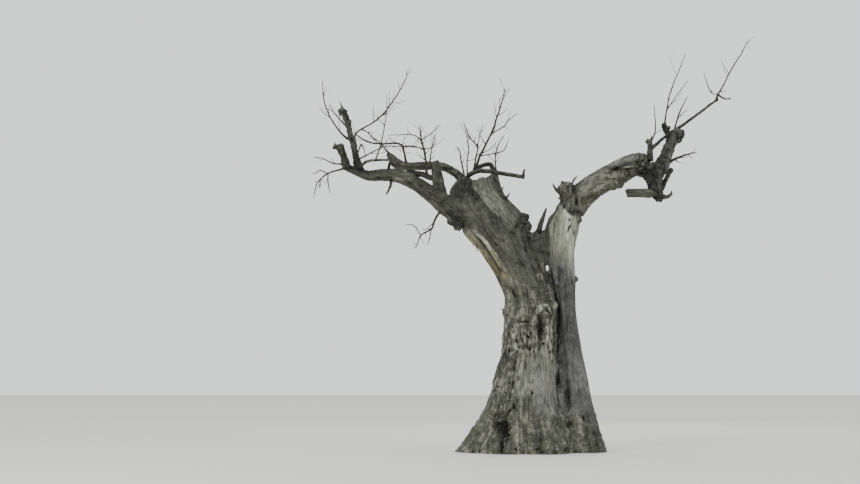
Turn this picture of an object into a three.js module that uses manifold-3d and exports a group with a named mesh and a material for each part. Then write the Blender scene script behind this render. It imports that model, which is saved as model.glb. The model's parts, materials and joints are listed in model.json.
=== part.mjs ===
// A dead pollard tree: a hollowed trunk with two great limbs, their boughs and bare twigs.
// Millimetres, +Z up. The origin is on the flat cut under the trunk.
import * as THREE from 'three';
import { mergeVertices } from 'three/addons/utils/BufferGeometryUtils.js';
import Module from 'manifold-3d';

const wasm = await Module();
wasm.setup();

// Driving sizes
const forkHeight = 2640; // where the trunk ends and its two great limbs begin
const jointGap = 0.6; // wood to wood, between a limb and what carries it
const farthestPush = 4 * jointGap; // how far a sharp corner may move to keep that gap
const flareHeight = 520; // height over which the root flare dies away
const trunkDepth = 0.88; // front to back, as a share of the width
const limbTipDepth = 0.64; // the same share at the broken top of the left limb
const sideFlareShare = 0.35; // the side stem's root flare as a share of the main stem's
const twigTip = 4; // radius at the end of the finest twig
const twigSpace = 420; // how far a twig may reach out of the box round its mass's stem
const goldenTurn = 2.39996; // radians between one shoot and the next round a stem
const swellings = [2, 3, 5]; // how many times a limb swells in one turn round it, in three waves
const swellingRoll = 0.005; // how fast a wave may turn round the limb, in radians per mm
const brokenDip = 0.3; // how far a broken tip's heart lies below its rim, as a share of its jag
const chipsBelow = 0.35; // the share of that rim's chips that lie below its row
const simplifyWithin = 0.05; // how far a cut solid's surface may be evened out
const planeBias = 0.001; // keeps a nearly flat vertex's pushed out place close to it
const degree = Math.PI / 180;

// How shoots leave a twig. firstAt and span are shares of the twig's length; length, its spread and
// the thinning towards the tip give a shoot's length as a share of the twig's; lean is in radians.
const shootRule = { firstAt: 0.2, span: 0.75, lean: 0.55, leanSpread: 0.5, length: 0.14,
  lengthSpread: 0.16, atFoot: 1.1, thinning: 0.5, girth: 0.6, bend: 0.55, curl: 0.18, forkShare: 0.25 };

// Roots, by their angle from +X towards the front, their reach at the ground and their spread.
const rootLobes = [
  { at: 180, reach: 490, spread: 26 }, { at: 125, reach: 200, spread: 22 },
  { at: 70, reach: 170, spread: 20 }, { at: 5, reach: 110, spread: 24 },
  { at: 300, reach: 190, spread: 24 }, { at: 235, reach: 230, spread: 24 },
];

// Flutes that run up the trunk from between its roots: how many go round it, how deep they are, how
// fast they turn, in radians per mm, and the heights between which they die away.
const flutes = { count: 9, depth: 34, turn: 0.0004, fadeFrom: 1000, fadeTo: 2000 };

// Burrs that swell the trunk's left flank, its root crown and the callus ring over its waist, placed by
// a seeded rule between two angles and two heights. out is how far one stands out, width and length
// are its size across and along the trunk.
const burrs = [
  { count: 13, angles: [115, 235], heights: [680, 1900], out: 46, width: 80, length: 105, seed: 5 },
  { count: 30, angles: [-180, 180], heights: [40, 640], out: 52, width: 120, length: 110, seed: 6 },
  { count: 10, angles: [-180, 180], heights: [2140, 2240], out: 30, width: 90, length: 80, seed: 7 },
];
const burrGirth = 520; // the radius that turns a burr's width into an angle

// The slit of daylight between the stems: its size, its middle and the slope of its axis.
const slit = { width: 50, height: 130, length: 1600, centre: [145, 0, 2915], rise: 0.1, swing: 0.097 };

// What is cut out of the trunk: the cleft between the stems, the hollow at its foot and the slot.
const hollows = [
  { depth: 2.2, rows: [[410, -430, 640, 24], [375, -330, 900, 72], [350, -250, 1500, 76],
    [305, -190, 2010, 54], [275, -130, 2760, 30]] },
  { depth: 2.6, rows: [[-600, -420, 560, 30], [-640, -430, 330, 95], [-660, -440, 120, 60],
    [-650, -450, -40, 40]] },
  { depth: 2, rows: [[-5, -390, 2130, 36], [5, -390, 1905, 64], [10, -390, 1690, 36]] },
];

// The seeds of the unevenness of the main and side stems and the limbs that carry them on.
const mainSeed = 3;
const sideSeed = 4;

// The pieces of wood. A row is x, y, z and the radius there, from foot to tip. Knots are lumps on a
// limb, given by their middle and radius.
const leftForkRow = [-200, 0, forkHeight, 398];
const rightForkRow = [385, 0, forkHeight, 222];
const mainStemRows = [
  [-160, 0, -60, 735], [-170, 0, 300, 665], [-180, 0, 690, 572], [-165, 0, 1180, 462],
  [-130, 0, 1680, 408], [-125, 0, 2020, 414], [-130, 0, 2180, 438], [-150, 0, 2420, 388],
  leftForkRow,
];
const sideStemRows = [
  [660, 30, -90, 410], [566, 30, 650, 294], [492, 20, 1130, 270], [448, 10, 1620, 224],
  [388, 0, 2200, 217], rightForkRow,
];
const rightStemRows = [
  rightForkRow, [352, 0, 3120, 218], [384, 0, 3500, 262], [434, 0, 3720, 272], [505, 0, 3900, 214],
  [535, -10, 4040, 140],
];
const rightStemKnots = [[592, 0, 2735, 56], [672, 0, 3690, 52]];
const leftLimbRows = [
  leftForkRow, [-354, 0, 2960, 410], [-500, 0, 3210, 424], [-596, 0, 3370, 485],
  [-685, 10, 3530, 532], [-760, 70, 3780, 561], [-930, 170, 4040, 486], [-980, 220, 4220, 427],
  [-940, 280, 4450, 312],
];
const leftLimbKnots = [[-220, -70, 3720, 84], [-180, -110, 3580, 84], [-160, -110, 3460, 64]];
const topNotchRows = [
  [-1090, 180, 4425, 70], [-1020, 180, 4440, 76], [-930, 180, 4480, 62], [-820, 180, 4540, 46],
];
const brokenStemRows = [[20, -70, 2500, 146], [0, -80, 3110, 140], [0, -70, 3460, 112]];
const limbs = [
  { name: 'splinter', sides: 6, rows: [[-20, -110, 3390, 60], [50, -90, 3640, 39], [140, -70, 3880, 8]] },
  { name: 'burl', sides: 12, gnarl: 0.16, jag: 40, knots: [[425, 0, 4240, 60], [560, -40, 4200, 80]],
    rows: [[540, -40, 3880, 110], [490, -40, 4050, 132], [492, 0, 4210, 140], [515, 0, 4290, 118]] },
  { name: 'arch', sides: 14, gnarl: 0.07, knots: [[1181, -300, 4205, 76], [1280, -330, 4235, 70]],
    rows: [[580, 0, 3860, 192], [725, 0, 4080, 200], [850, -70, 4190, 196], [1000, -150, 4285, 194],
      [1148, -220, 4365, 196], [1300, -290, 4440, 196], [1429, -380, 4500, 182], [1562, -440, 4525, 180],
      [1694, -510, 4500, 164]] },
  { name: 'hook', sides: 10, gnarl: 0.12,
    rows: [[1810, -560, 4470, 158], [1790, -590, 4240, 116], [1810, -610, 4100, 100],
      [1830, -620, 3990, 77], [1840, -630, 3880, 20]] },
  { name: 'hook_arm', sides: 8, jag: 50,
    rows: [[1830, -610, 4020, 75], [1550, -720, 4020, 62], [1330, -830, 4000, 62]] },
  { name: 'hook_nub', sides: 6,
    rows: [[1860, -610, 3980, 50], [1970, -650, 3970, 31], [2030, -670, 4010, 22],
      [2040, -670, 4060, 10]] },
  { name: 'hook_spur', sides: 6, knots: [[2030, -480, 4370, 26]],
    rows: [[1880, -600, 4070, 34], [1990, -520, 4280, 27], [2100, -440, 4450, 27]] },
  { name: 'high_bough', sides: 10, gnarl: 0.14, jag: 20,
    rows: [[1870, -560, 4411, 120], [1975, -530, 4608, 82], [2045, -490, 4777, 73],
      [2110, -440, 4910, 80], [2175, -370, 4990, 108], [2255, -320, 5045, 96]] },
  { name: 'high_nub', sides: 7, gnarl: 0.16, knots: [[2075, -380, 5125, 30]],
    rows: [[2090, -370, 4990, 50], [2030, -370, 5090, 45], [2000, -380, 5160, 42],
      [2005, -390, 5200, 28]] },
  { name: 'short_stub', sides: 7, jag: 30, knots: [[1690, -570, 4860, 26]],
    rows: [[1724, -560, 4560, 60], [1735, -560, 4720, 42], [1735, -570, 4830, 38],
      [1736, -570, 4885, 27]] },
  { name: 'long_strut', sides: 6,
    rows: [[1757, -570, 4745, 30], [1914, -500, 4894, 25], [2055, -490, 5005, 23],
      [2290, -300, 5167, 22], [2655, -80, 5449, 19], [2984, 120, 5705, 16]] },
  { name: 'left_bough', sides: 12, gnarl: 0.08, knots: [[-1370, -150, 3650, 100], [-1290, -150, 3580, 86]],
    rows: [[-1000, -60, 3780, 200], [-1380, -110, 3870, 195], [-1620, -200, 4020, 144],
      [-1900, -350, 4200, 121], [-2210, -480, 4330, 111], [-2520, -570, 4330, 96],
      [-2700, -650, 4300, 84], [-2950, -780, 4380, 63], [-3080, -830, 4410, 47]] },
  { name: 'left_stub', sides: 8, gnarl: 0.12, jag: 50,
    rows: [[-3030, -830, 4410, 82], [-3070, -840, 4570, 57], [-3120, -870, 4690, 68],
      [-3150, -890, 4730, 74]] },
  { name: 'upright_bough', sides: 8, gnarl: 0.12, knots: [[-3160, -460, 5380, 30]],
    rows: [[-2840, -740, 4380, 77], [-2890, -710, 4570, 47], [-2940, -650, 4780, 37],
      [-3000, -570, 5000, 35], [-3050, -510, 5210, 41], [-3110, -460, 5360, 47],
      [-3090, -460, 5400, 36]] },
  { name: 'slant_stump', sides: 8, gnarl: 0.12, jag: 40,
    rows: [[-1530, -280, 3970, 95], [-1620, -390, 4310, 83], [-1660, -460, 4560, 61]] },
  { name: 'link_bough', sides: 7, jag: 30,
    rows: [[-1620, -390, 4260, 46], [-1860, -410, 4370, 42], [-2090, -440, 4400, 44]] },
  { name: 'upper_bough', sides: 8, gnarl: 0.1, jag: 30,
    rows: [[-1100, 220, 4350, 78], [-1370, 350, 4560, 66], [-1570, 430, 4660, 66],
      [-1990, 630, 4690, 68], [-2240, 700, 4720, 66], [-2350, 760, 4830, 66],
      [-2440, 780, 4930, 40]] },
  { name: 'right_spray_bough', sides: 7,
    rows: [[-1190, 200, 4350, 44], [-1080, 110, 4460, 38], [-924, 0, 4500, 34],
      [-570, -280, 4400, 28], [-260, -540, 4300, 27]] },
  { name: 'spray_hook', sides: 5,
    rows: [[-260, -540, 4320, 20], [-260, -550, 4370, 17], [-250, -560, 4420, 12]] },
  { name: 'spray_loop', sides: 6,
    rows: [[-1018, 80, 4530, 28], [-921, 60, 4580, 30], [-825, 20, 4604, 31], [-750, -50, 4590, 34],
      [-712, -140, 4455, 40]] },
  { name: 'thin_bough', sides: 5,
    rows: [[-2820, -730, 4420, 26], [-2750, -780, 4490, 21], [-2650, -830, 4510, 18],
      [-2340, -780, 4530, 15]] },
  { name: 'prop_bough', sides: 5, rows: [[-2330, -760, 4570, 20], [-2370, -650, 4490, 21],
    [-2400, -560, 4370, 24]] },
  { name: 'under_peg', sides: 5, gnarl: 0.2,
    rows: [[-2350, -560, 4290, 36], [-2350, -590, 4170, 24], [-2420, -670, 4000, 9]] },
];

// The masses of bare twigs. Rows are as above, forks are stems that leave a row of the main one.
const masses = [
  { name: 'twigs_far_left', seed: 11, shoots: 4,
    stem: [[-3040, -570, 4910, 17], [-3150, -670, 5000, 14], [-3280, -780, 5180, 11],
      [-3380, -870, 5420, 10], [-3410, -960, 5760, 5]], forks: [] },
  { name: 'twigs_upright_side', seed: 12, shoots: 2,
    stem: [[-3040, -540, 5100, 16], [-3130, -440, 5200, 13], [-3280, -300, 5400, 10],
      [-3370, -180, 5580, 5]], forks: [] },
  { name: 'twigs_upright_tip', seed: 13, shoots: 1,
    stem: [[-3110, -460, 5370, 18], [-3140, -480, 5440, 13], [-3170, -500, 5540, 6]], forks: [] },
  { name: 'twigs_upright_long', seed: 14, shoots: 9,
    stem: [[-2900, -650, 4760, 17], [-2900, -610, 4990, 15], [-2640, -440, 5200, 14],
      [-2480, -330, 5370, 13], [-2320, -200, 5620, 11], [-2140, -60, 5980, 8],
      [-2110, 0, 6160, 5]], forks: [] },
  { name: 'twigs_left_whip', seed: 15, shoots: 3,
    stem: [[-2580, -850, 4520, 13], [-2500, -810, 4770, 11], [-2420, -740, 5260, 8],
      [-2410, -700, 5610, 5]], forks: [] },
  { name: 'twigs_upper_arch', seed: 16, shoots: 6,
    stem: [[-2130, 630, 4720, 21], [-2170, 590, 4920, 18], [-2240, 540, 5050, 17],
      [-2570, 330, 5010, 13], [-2760, 170, 5010, 10], [-2920, 40, 5080, 8],
      [-3000, -40, 5130, 5]], forks: [] },
  { name: 'twigs_upper_tip', seed: 17, shoots: 3,
    stem: [[-2420, 780, 4920, 15], [-2570, 740, 5090, 12], [-2720, 680, 5210, 10],
      [-2880, 610, 5340, 5]], forks: [] },
  { name: 'twigs_left_arc', seed: 18, shoots: 7,
    stem: [[-2880, -680, 4540, 13], [-2730, -740, 4610, 11], [-2540, -870, 4680, 10],
      [-2410, -920, 4720, 9], [-2040, -1000, 4690, 8], [-1700, -1040, 4670, 7],
      [-1660, -1050, 4870, 5]], forks: [] },
  { name: 'twigs_left_crook', seed: 19, shoots: 1,
    stem: [[-2880, -670, 4630, 13], [-2820, -610, 4810, 10], [-2780, -460, 4750, 8],
      [-2760, -370, 4630, 5]], forks: [] },
  { name: 'twigs_left_end', seed: 20, shoots: 3,
    stem: [[-3120, -850, 4450, 13], [-3230, -920, 4450, 11], [-3400, -1040, 4510, 8],
      [-3530, -1110, 4510, 5]], forks: [] },
  { name: 'twigs_left_drooping', seed: 21, shoots: 4,
    stem: [[-3080, -850, 4380, 16], [-3320, -800, 4310, 13], [-3450, -740, 4220, 10],
      [-3500, -810, 4130, 8], [-3540, -870, 3900, 5]],
    forks: [[1, [-3460, -610, 4390, 9], [-3590, -480, 4340, 5]],
      [1, [-3300, -960, 4120, 9], [-3250, -1040, 3950, 5]],
      [2, [-3460, -720, 4070, 6]]] },
  { name: 'twigs_stump_tip', seed: 22, shoots: 10,
    stem: [[-1790, -430, 4370, 20], [-1800, -460, 4560, 18], [-1830, -520, 4740, 16],
      [-1870, -570, 4890, 13], [-1910, -650, 5140, 5]],
    forks: [[2, [-2010, -480, 4810, 9], [-2220, -440, 4810, 5]],
      [3, [-2020, -720, 4940, 8], [-2390, -830, 4910, 5]],
      [3, [-1700, -460, 5030, 8], [-1560, -390, 5190, 5]]] },
  { name: 'twigs_upper_mid', seed: 23, shoots: 3,
    stem: [[-1740, 480, 4700, 13], [-1710, 560, 4950, 10], [-1670, 630, 5170, 7],
      [-1660, 650, 5240, 5]], forks: [] },
  { name: 'twigs_shoulder_left', seed: 24, shoots: 2,
    stem: [[-1170, 200, 4420, 15], [-1220, 240, 4690, 13], [-1250, 300, 4890, 10],
      [-1320, 370, 4990, 5]], forks: [] },
  { name: 'twigs_shoulder_mid', seed: 25, shoots: 5,
    stem: [[-1130, 180, 4410, 14], [-1120, 330, 4740, 11], [-1090, 440, 4930, 10],
      [-1110, 560, 5130, 8], [-1150, 650, 5360, 5]], forks: [] },
  { name: 'twigs_shoulder_right', seed: 26, shoots: 5,
    stem: [[-1030, 60, 4490, 16], [-990, -110, 4720, 13], [-970, -220, 4860, 11],
      [-1100, -370, 4970, 10], [-1210, -560, 5200, 5]],
    forks: [[2, [-930, -310, 5050, 8], [-880, -370, 5200, 5]]] },
  { name: 'twigs_tall_crest', seed: 27, shoots: 10,
    stem: [[-1000, 60, 4520, 24], [-920, 40, 4750, 20], [-740, 0, 5110, 16],
      [-630, -60, 5420, 13], [-550, -110, 5680, 10], [-510, -150, 5850, 5]],
    forks: [[1, [-710, 220, 4820, 11], [-510, 410, 4920, 9], [-410, 560, 5150, 5]],
      [2, [-550, -220, 5180, 10], [-490, -330, 5250, 8], [-320, -480, 5350, 5]]] },
  { name: 'twigs_crest_right', seed: 28, shoots: 3,
    stem: [[-670, -200, 4430, 13], [-690, -280, 4630, 11], [-670, -390, 4790, 10],
      [-560, -520, 4990, 5]], forks: [] },
  { name: 'twigs_hanging', seed: 29, shoots: 3,
    stem: [[-1540, -200, 3850, 20], [-1660, -330, 3650, 18], [-1710, -430, 3500, 15],
      [-1880, -570, 3370, 11], [-1940, -630, 3200, 8], [-2000, -650, 3150, 5]],
    forks: [[2, [-1740, -520, 3340, 9], [-1770, -570, 3220, 5]],
      [3, [-1990, -410, 3550, 8], [-2140, -330, 3570, 5]]] },
  { name: 'twigs_burl_left', seed: 30, shoots: 1,
    stem: [[400, -90, 4060, 17], [280, -200, 4140, 13], [240, -280, 4200, 7]], forks: [] },
  { name: 'twigs_burl_top', seed: 31, shoots: 1,
    stem: [[540, -60, 4230, 17], [600, 0, 4360, 13], [680, 70, 4440, 7]], forks: [] },
  { name: 'twigs_bough_side', seed: 32, shoots: 2,
    stem: [[1990, -480, 4500, 28], [2090, -570, 4570, 22], [2190, -680, 4600, 18],
      [2280, -780, 4620, 13], [2400, -890, 4630, 7]],
    forks: [[3, [2330, -920, 4510, 6]]] },
  { name: 'twigs_nub_whips', seed: 33, shoots: 2,
    stem: [[2010, -390, 5180, 14], [2040, -430, 5400, 12], [2080, -480, 5640, 10],
      [2210, -560, 5990, 8], [2330, -630, 6300, 5]],
    forks: [[1, [2200, -300, 5630, 8], [2480, -90, 5990, 5]]] },
  { name: 'twigs_head_whip', seed: 34, shoots: 1,
    stem: [[2160, -300, 5030, 16], [2260, -330, 5370, 13], [2400, -370, 5660, 6]], forks: [] },
  { name: 'twigs_stub_whip', seed: 35, shoots: 1,
    stem: [[1750, -560, 4850, 13], [1820, -590, 5040, 11], [1800, -650, 5450, 5]], forks: [] },
  { name: 'twigs_summit', seed: 36, shoots: 3,
    stem: [[2970, 110, 5690, 20], [3010, 170, 5800, 17], [3120, 220, 5980, 13],
      [3280, 300, 6260, 12], [3490, 370, 6580, 10], [3620, 430, 6840, 5]],
    forks: [[1, [3090, 40, 5700, 14], [3180, -60, 5690, 9]],
      [1, [2910, 280, 5890, 9], [2840, 410, 6240, 5]]] },
];

// A repeatable random number from 0 to 1.
function seededRandom(seed) {
  let state = seed;
  return () => {
    state = (state * 1664525 + 1013904223) % 4294967296;
    return state / 4294967296;
  };
}

// A closed geometry as a solid that can be cut and joined.
function solidOf(geometry) {
  const bare = new THREE.BufferGeometry();
  bare.setIndex(geometry.index);
  bare.setAttribute('position', geometry.getAttribute('position'));
  const merged = mergeVertices(bare, 1e-3);
  return new wasm.Manifold(new wasm.Mesh({
    numProp: 3,
    vertProperties: merged.getAttribute('position').array,
    triVerts: new Uint32Array(merged.index.array),
  }));
}

function geometryOf(solid) {
  const mesh = solid.getMesh();
  const geometry = new THREE.BufferGeometry();
  geometry.setAttribute('position', new THREE.BufferAttribute(mesh.vertProperties, 3));
  geometry.setIndex(new THREE.BufferAttribute(mesh.triVerts, 1));
  geometry.computeVertexNormals();
  return geometry;
}

// The solid with every face pushed out by the joint gap, which is cut from whatever meets it. Each
// vertex goes where the pushed out planes of its faces meet, found by least squares.
function swollen(solid) {
  const geometry = geometryOf(solid);
  const position = geometry.getAttribute('position');
  const planes = Array.from({ length: position.count }, () => new THREE.Matrix3().set(
    planeBias, 0, 0, 0, planeBias, 0, 0, 0, planeBias));
  const pulls = Array.from({ length: position.count }, () => new THREE.Vector3());
  const corners = [0, 1, 2].map(() => new THREE.Vector3());
  for (let i = 0; i < geometry.index.count; i += 3) {
    const around = [0, 1, 2].map((k) => geometry.index.getX(i + k));
    around.forEach((vertex, k) => corners[k].fromBufferAttribute(position, vertex));
    const face = new THREE.Triangle(...corners).getNormal(new THREE.Vector3());
    around.forEach((vertex, k) => {
      const side = corners[(k + 1) % 3].clone().sub(corners[k]);
      const weight = side.angleTo(corners[(k + 2) % 3].clone().sub(corners[k]));
      const { elements } = planes[vertex];
      face.toArray().forEach((m, row) => face.toArray().forEach((n, column) => {
        elements[3 * column + row] += weight * m * n;
      }));
      pulls[vertex].addScaledVector(face, weight * jointGap);
    });
  }
  pulls.forEach((pull, i) => {
    pull.applyMatrix3(planes[i].invert()).clampLength(0, farthestPush);
    position.setXYZ(i, position.getX(i) + pull.x, position.getY(i) + pull.y, position.getZ(i) + pull.z);
  });
  return solidOf(geometry);
}

// The radius at a share of the way along the rows.
function radiusAt(rows, share) {
  const place = share * (rows.length - 1);
  const row = Math.min(Math.floor(place), rows.length - 2);
  return THREE.MathUtils.lerp(rows[row][3], rows[row + 1][3], place - row);
}

function knotSolid([x, y, z, radius]) {
  return solidOf(new THREE.IcosahedronGeometry(radius, 1).translate(x, y, z));
}

// A cylinder bent onto the line through the rows, with its knots. level keeps its sections
// horizontal, depth is the share of its width from front to back at its foot and tipDepth at its
// tip, gnarl swells it unevenly, jag breaks its tip, and bulge adds to its radius. Angles run from
// +X towards the front.
function limbSolid(rows, { sides = 8, rings = 2, level = false, depth = 1, tipDepth = depth,
  gnarl = 0.05, jag = 0, seed = 1, bulge = () => 0, knots = [] } = {}) {
  const curve = new THREE.CatmullRomCurve3(rows.map(([x, y, z]) => new THREE.Vector3(x, y, z)));
  const geometry = new THREE.CylinderGeometry(1, 1, 1, sides, rings * (rows.length - 1));
  const position = geometry.getAttribute('position');
  const random = seededRandom(seed);
  const waves = swellings.map((count) => (
    { count, phase: random() * 6, roll: random() * swellingRoll }));
  const chips = Array.from({ length: sides }, () => jag * (random() - chipsBelow));
  const back = new THREE.Vector3(0, 1, 0);
  const point = new THREE.Vector3();
  for (let i = 0; i < position.count; i += 1) {
    point.fromBufferAttribute(position, i);
    const share = THREE.MathUtils.clamp(point.y + 0.5, 0, 1);
    const angle = Math.atan2(point.z, point.x);
    const atRim = Math.hypot(point.x, point.z) > 0.5;
    const heart = curve.getPoint(share);
    const along = level ? new THREE.Vector3(0, 0, 1) : curve.getTangent(share);
    const across = new THREE.Vector3().crossVectors(back, along).normalize();
    const forward = new THREE.Vector3().crossVectors(across, along);
    let radius = 0;
    let rise = share === 1 ? -brokenDip * jag : 0;
    if (atRim) {
      radius = radiusAt(rows, share);
      for (const { count, phase, roll } of waves) {
        radius *= 1 + (gnarl / 2) * Math.cos(count * angle + phase + roll * (heart.x + heart.z));
      }
      radius += bulge(angle, heart.z);
      rise = share === 1 ? chips[Math.round((angle / (2 * Math.PI) + 1) * sides) % sides] : 0;
    }
    point.copy(heart)
      .addScaledVector(across, Math.cos(angle) * radius)
      .addScaledVector(forward, Math.sin(angle) * radius * THREE.MathUtils.lerp(depth, tipDepth, share))
      .addScaledVector(along, rise);
    position.setXYZ(i, point.x, point.y, point.z);
  }
  return knots.reduce((solid, knot) => solid.add(knotSolid(knot)), solidOf(geometry));
}

// How far the roots push the trunk out, at an angle and a height.
function rootFlare(angle, height) {
  let out = 0;
  for (const { at, reach, spread } of rootLobes) {
    const turn = Math.atan2(Math.sin(angle - at * degree), Math.cos(angle - at * degree));
    const share = Math.exp(-((turn / (spread * degree)) ** 2));
    out += reach * share * Math.exp(-Math.max(height, 0) / flareHeight);
  }
  return out;
}

// How far the flutes push the trunk out or in, at an angle and a height.
function fluting(angle, height) {
  const share = 1 - THREE.MathUtils.smoothstep(height, flutes.fadeFrom, flutes.fadeTo);
  return (flutes.depth / 2) * share * Math.cos(flutes.count * angle + flutes.turn * height);
}

// The middle of every burr, as an angle and a height.
const burrPlaces = burrs.flatMap(({ count, angles, heights, seed, ...burr }) => {
  const random = seededRandom(seed);
  return Array.from({ length: count }, (_, k) => ({
    ...burr,
    at: THREE.MathUtils.lerp(...angles, (k * goldenTurn + 0.3 * random()) % 1) * degree,
    height: THREE.MathUtils.lerp(...heights, (k + random()) / count),
  }));
});

function burring(angle, height) {
  let out = 0;
  for (const burr of burrPlaces) {
    const turn = Math.atan2(Math.sin(angle - burr.at), Math.cos(angle - burr.at));
    const across = (turn * burrGirth) / burr.width;
    out = Math.max(out, burr.out * Math.exp(-(across ** 2) - ((height - burr.height) / burr.length) ** 2));
  }
  return out;
}

// The hole that shows daylight between the broken stem and the right stem.
function daylightSlit() {
  const { width, height, length, centre, rise, swing } = slit;
  const geometry = new THREE.CylinderGeometry(1, 1, length, 8);
  geometry.scale(width / 2, 1, height / 2).rotateX(rise).rotateZ(-swing).translate(...centre);
  return solidOf(geometry);
}

function largestOf(solid) {
  return solid.simplify(simplifyWithin).decompose().sort((a, b) => b.volume() - a.volume())[0];
}

// The trunk: the main and side stems in one, with the cleft, the hollow and the slot cut in.
function trunkSolid() {
  const main = limbSolid(mainStemRows, { sides: 56, rings: 3, level: true, depth: trunkDepth, seed: mainSeed,
    bulge: (angle, height) => (
      rootFlare(angle, height) + fluting(angle, height) + burring(angle, height)) });
  const side = limbSolid(sideStemRows, { sides: 18, level: true, depth: trunkDepth, gnarl: 0.06,
    seed: sideSeed, bulge: (angle, height) => rootFlare(angle, height) * sideFlareShare });
  let trunk = main.add(side);
  for (const { rows, depth } of hollows) {
    trunk = trunk.subtract(limbSolid(rows, { depth, level: true, gnarl: 0.2 }));
  }
  return largestOf(trunk.trimByPlane([0, 0, 1], 0).trimByPlane([0, 0, -1], -forkHeight));
}

// A great limb as it stands on the trunk, with the slit of daylight cut through.
function aboveFork(solid) {
  return solid.trimByPlane([0, 0, 1], forkHeight + jointGap).subtract(daylightSlit());
}

const solids = new Map();

// The solid cut clear of every earlier one that it meets; only its largest piece is kept.
function cutClear(solid) {
  let left = solid;
  for (const other of solids.values()) {
    if (left.boundingBox().min.every((low, i) => low <= other.boundingBox().max[i] + jointGap)
      && left.boundingBox().max.every((high, i) => high >= other.boundingBox().min[i] - jointGap)) {
      left = left.subtract(swollen(other));
    }
  }
  return largestOf(left);
}

function touchesAny(solid, margin) {
  const { min, max } = solid.boundingBox();
  for (const other of solids.values()) {
    const box = other.boundingBox();
    const near = min.every((low, i) => low <= box.max[i] + margin && max[i] >= box.min[i] - margin);
    if (near && solid.minGap(other, margin) < margin) return true;
  }
  return false;
}

// The rows of the side shoots on a stem, by the mass's seed: each leaves its parent at a lean, turned
// by the golden angle from the last one, and curls up towards its tip.
function shootRows(rows, count, random) {
  const points = rows.map(([x, y, z]) => new THREE.Vector3(x, y, z));
  const total = points.slice(1).reduce((sum, point, i) => sum + point.distanceTo(points[i]), 0);
  const shoots = [];
  for (let k = 0; k < count; k += 1) {
    const share = shootRule.firstAt + (shootRule.span * (k + random())) / count;
    const place = share * (rows.length - 1);
    const row = Math.min(Math.floor(place), rows.length - 2);
    const foot = points[row].clone().lerp(points[row + 1], place - row);
    const along = points[row + 1].clone().sub(points[row]).normalize();
    const sideways = new THREE.Vector3(0, 1, 0).cross(along).normalize()
      .applyAxisAngle(along, k * goldenTurn + random());
    const lean = shootRule.lean + shootRule.leanSpread * random();
    const length = total * (shootRule.length + shootRule.lengthSpread * random())
      * (shootRule.atFoot - shootRule.thinning * share);
    const girth = Math.max(radiusAt(rows, share) * shootRule.girth, twigTip);
    const way = along.multiplyScalar(Math.cos(lean)).addScaledVector(sideways, Math.sin(lean));
    const middle = foot.clone().addScaledVector(way, length * shootRule.bend);
    const tip = foot.clone().addScaledVector(way, length);
    tip.z += length * shootRule.curl;
    shoots.push([
      [...foot.toArray(), girth],
      [...middle.toArray(), (girth + twigTip) / 2],
      [...tip.toArray(), twigTip],
    ]);
  }
  return shoots;
}

// One mass: its stem, cut clear of the wood it grows on, with its forks and shoots fused on.
function massSolid({ stem, forks, shoots, seed }) {
  const random = seededRandom(seed);
  const twig = (rows) => limbSolid(rows, { sides: 3, rings: 1, gnarl: 0 });
  let mass = cutClear(twig(stem));
  const space = new THREE.Box3().setFromPoints(stem.map(([x, y, z]) => new THREE.Vector3(x, y, z)))
    .expandByScalar(twigSpace);
  const parents = [stem];
  for (const [row, ...rows] of forks) {
    const fork = [[...stem[row].slice(0, 3), rows[0][3]], ...rows];
    if (touchesAny(twig(fork), jointGap)) continue;
    mass = mass.add(twig(fork));
    parents.push(fork);
  }
  for (const parent of parents) {
    const count = parent === stem ? shoots : Math.round(shoots * shootRule.forkShare);
    for (const rows of shootRows(parent, count, random)) {
      const shoot = twig(rows);
      const tip = new THREE.Vector3(...rows[2].slice(0, 3));
      if (!space.containsPoint(tip) || touchesAny(shoot, jointGap)) continue;
      mass = mass.add(shoot);
    }
  }
  return largestOf(mass);
}

function woodOf(color, roughness) {
  return new THREE.MeshStandardMaterial({ color, roughness, metalness: 0 });
}

const bark = woodOf(0x5d5a50, 0.95);
const bareWood = woodOf(0x9a9c88, 0.85);
const twigBark = woodOf(0x4a4339, 0.9);

const tree = new THREE.Group();

function place(name, solid, material) {
  const mesh = new THREE.Mesh(geometryOf(solid), material);
  mesh.name = name;
  solids.set(name, solid);
  tree.add(mesh);
}

place('trunk', trunkSolid(), bark);
place('right_stem', cutClear(aboveFork(limbSolid(rightStemRows, { sides: 18, level: true,
  depth: trunkDepth, gnarl: 0.06, seed: sideSeed, knots: rightStemKnots }))), bareWood);
place('left_limb', cutClear(aboveFork(limbSolid(leftLimbRows, { sides: 28, level: true,
  depth: trunkDepth, tipDepth: limbTipDepth, jag: 80, seed: mainSeed, knots: leftLimbKnots })
  .subtract(limbSolid(topNotchRows, { depth: 6 })))), bark);
place('broken_stem', cutClear(aboveFork(limbSolid(brokenStemRows, { sides: 12, gnarl: 0.1, jag: 120,
  seed: 11 }))), bark);
limbs.forEach(({ name, rows, ...options }, i) => {
  place(name, cutClear(limbSolid(rows, { seed: 20 + i, ...options })), bark);
});
masses.forEach((mass) => place(mass.name, massSolid(mass), twigBark));

export default tree;
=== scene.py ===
# A dead pollard tree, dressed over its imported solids: bark relief on the trunk and limbs, and bare twigs.
# Metres, +Z up, the origin on the flat cut under the trunk.
import itertools
import json
import math

import bmesh
import bpy
import numpy as np
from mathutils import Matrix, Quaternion, Vector
from mathutils.bvhtree import BVHTree

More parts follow.
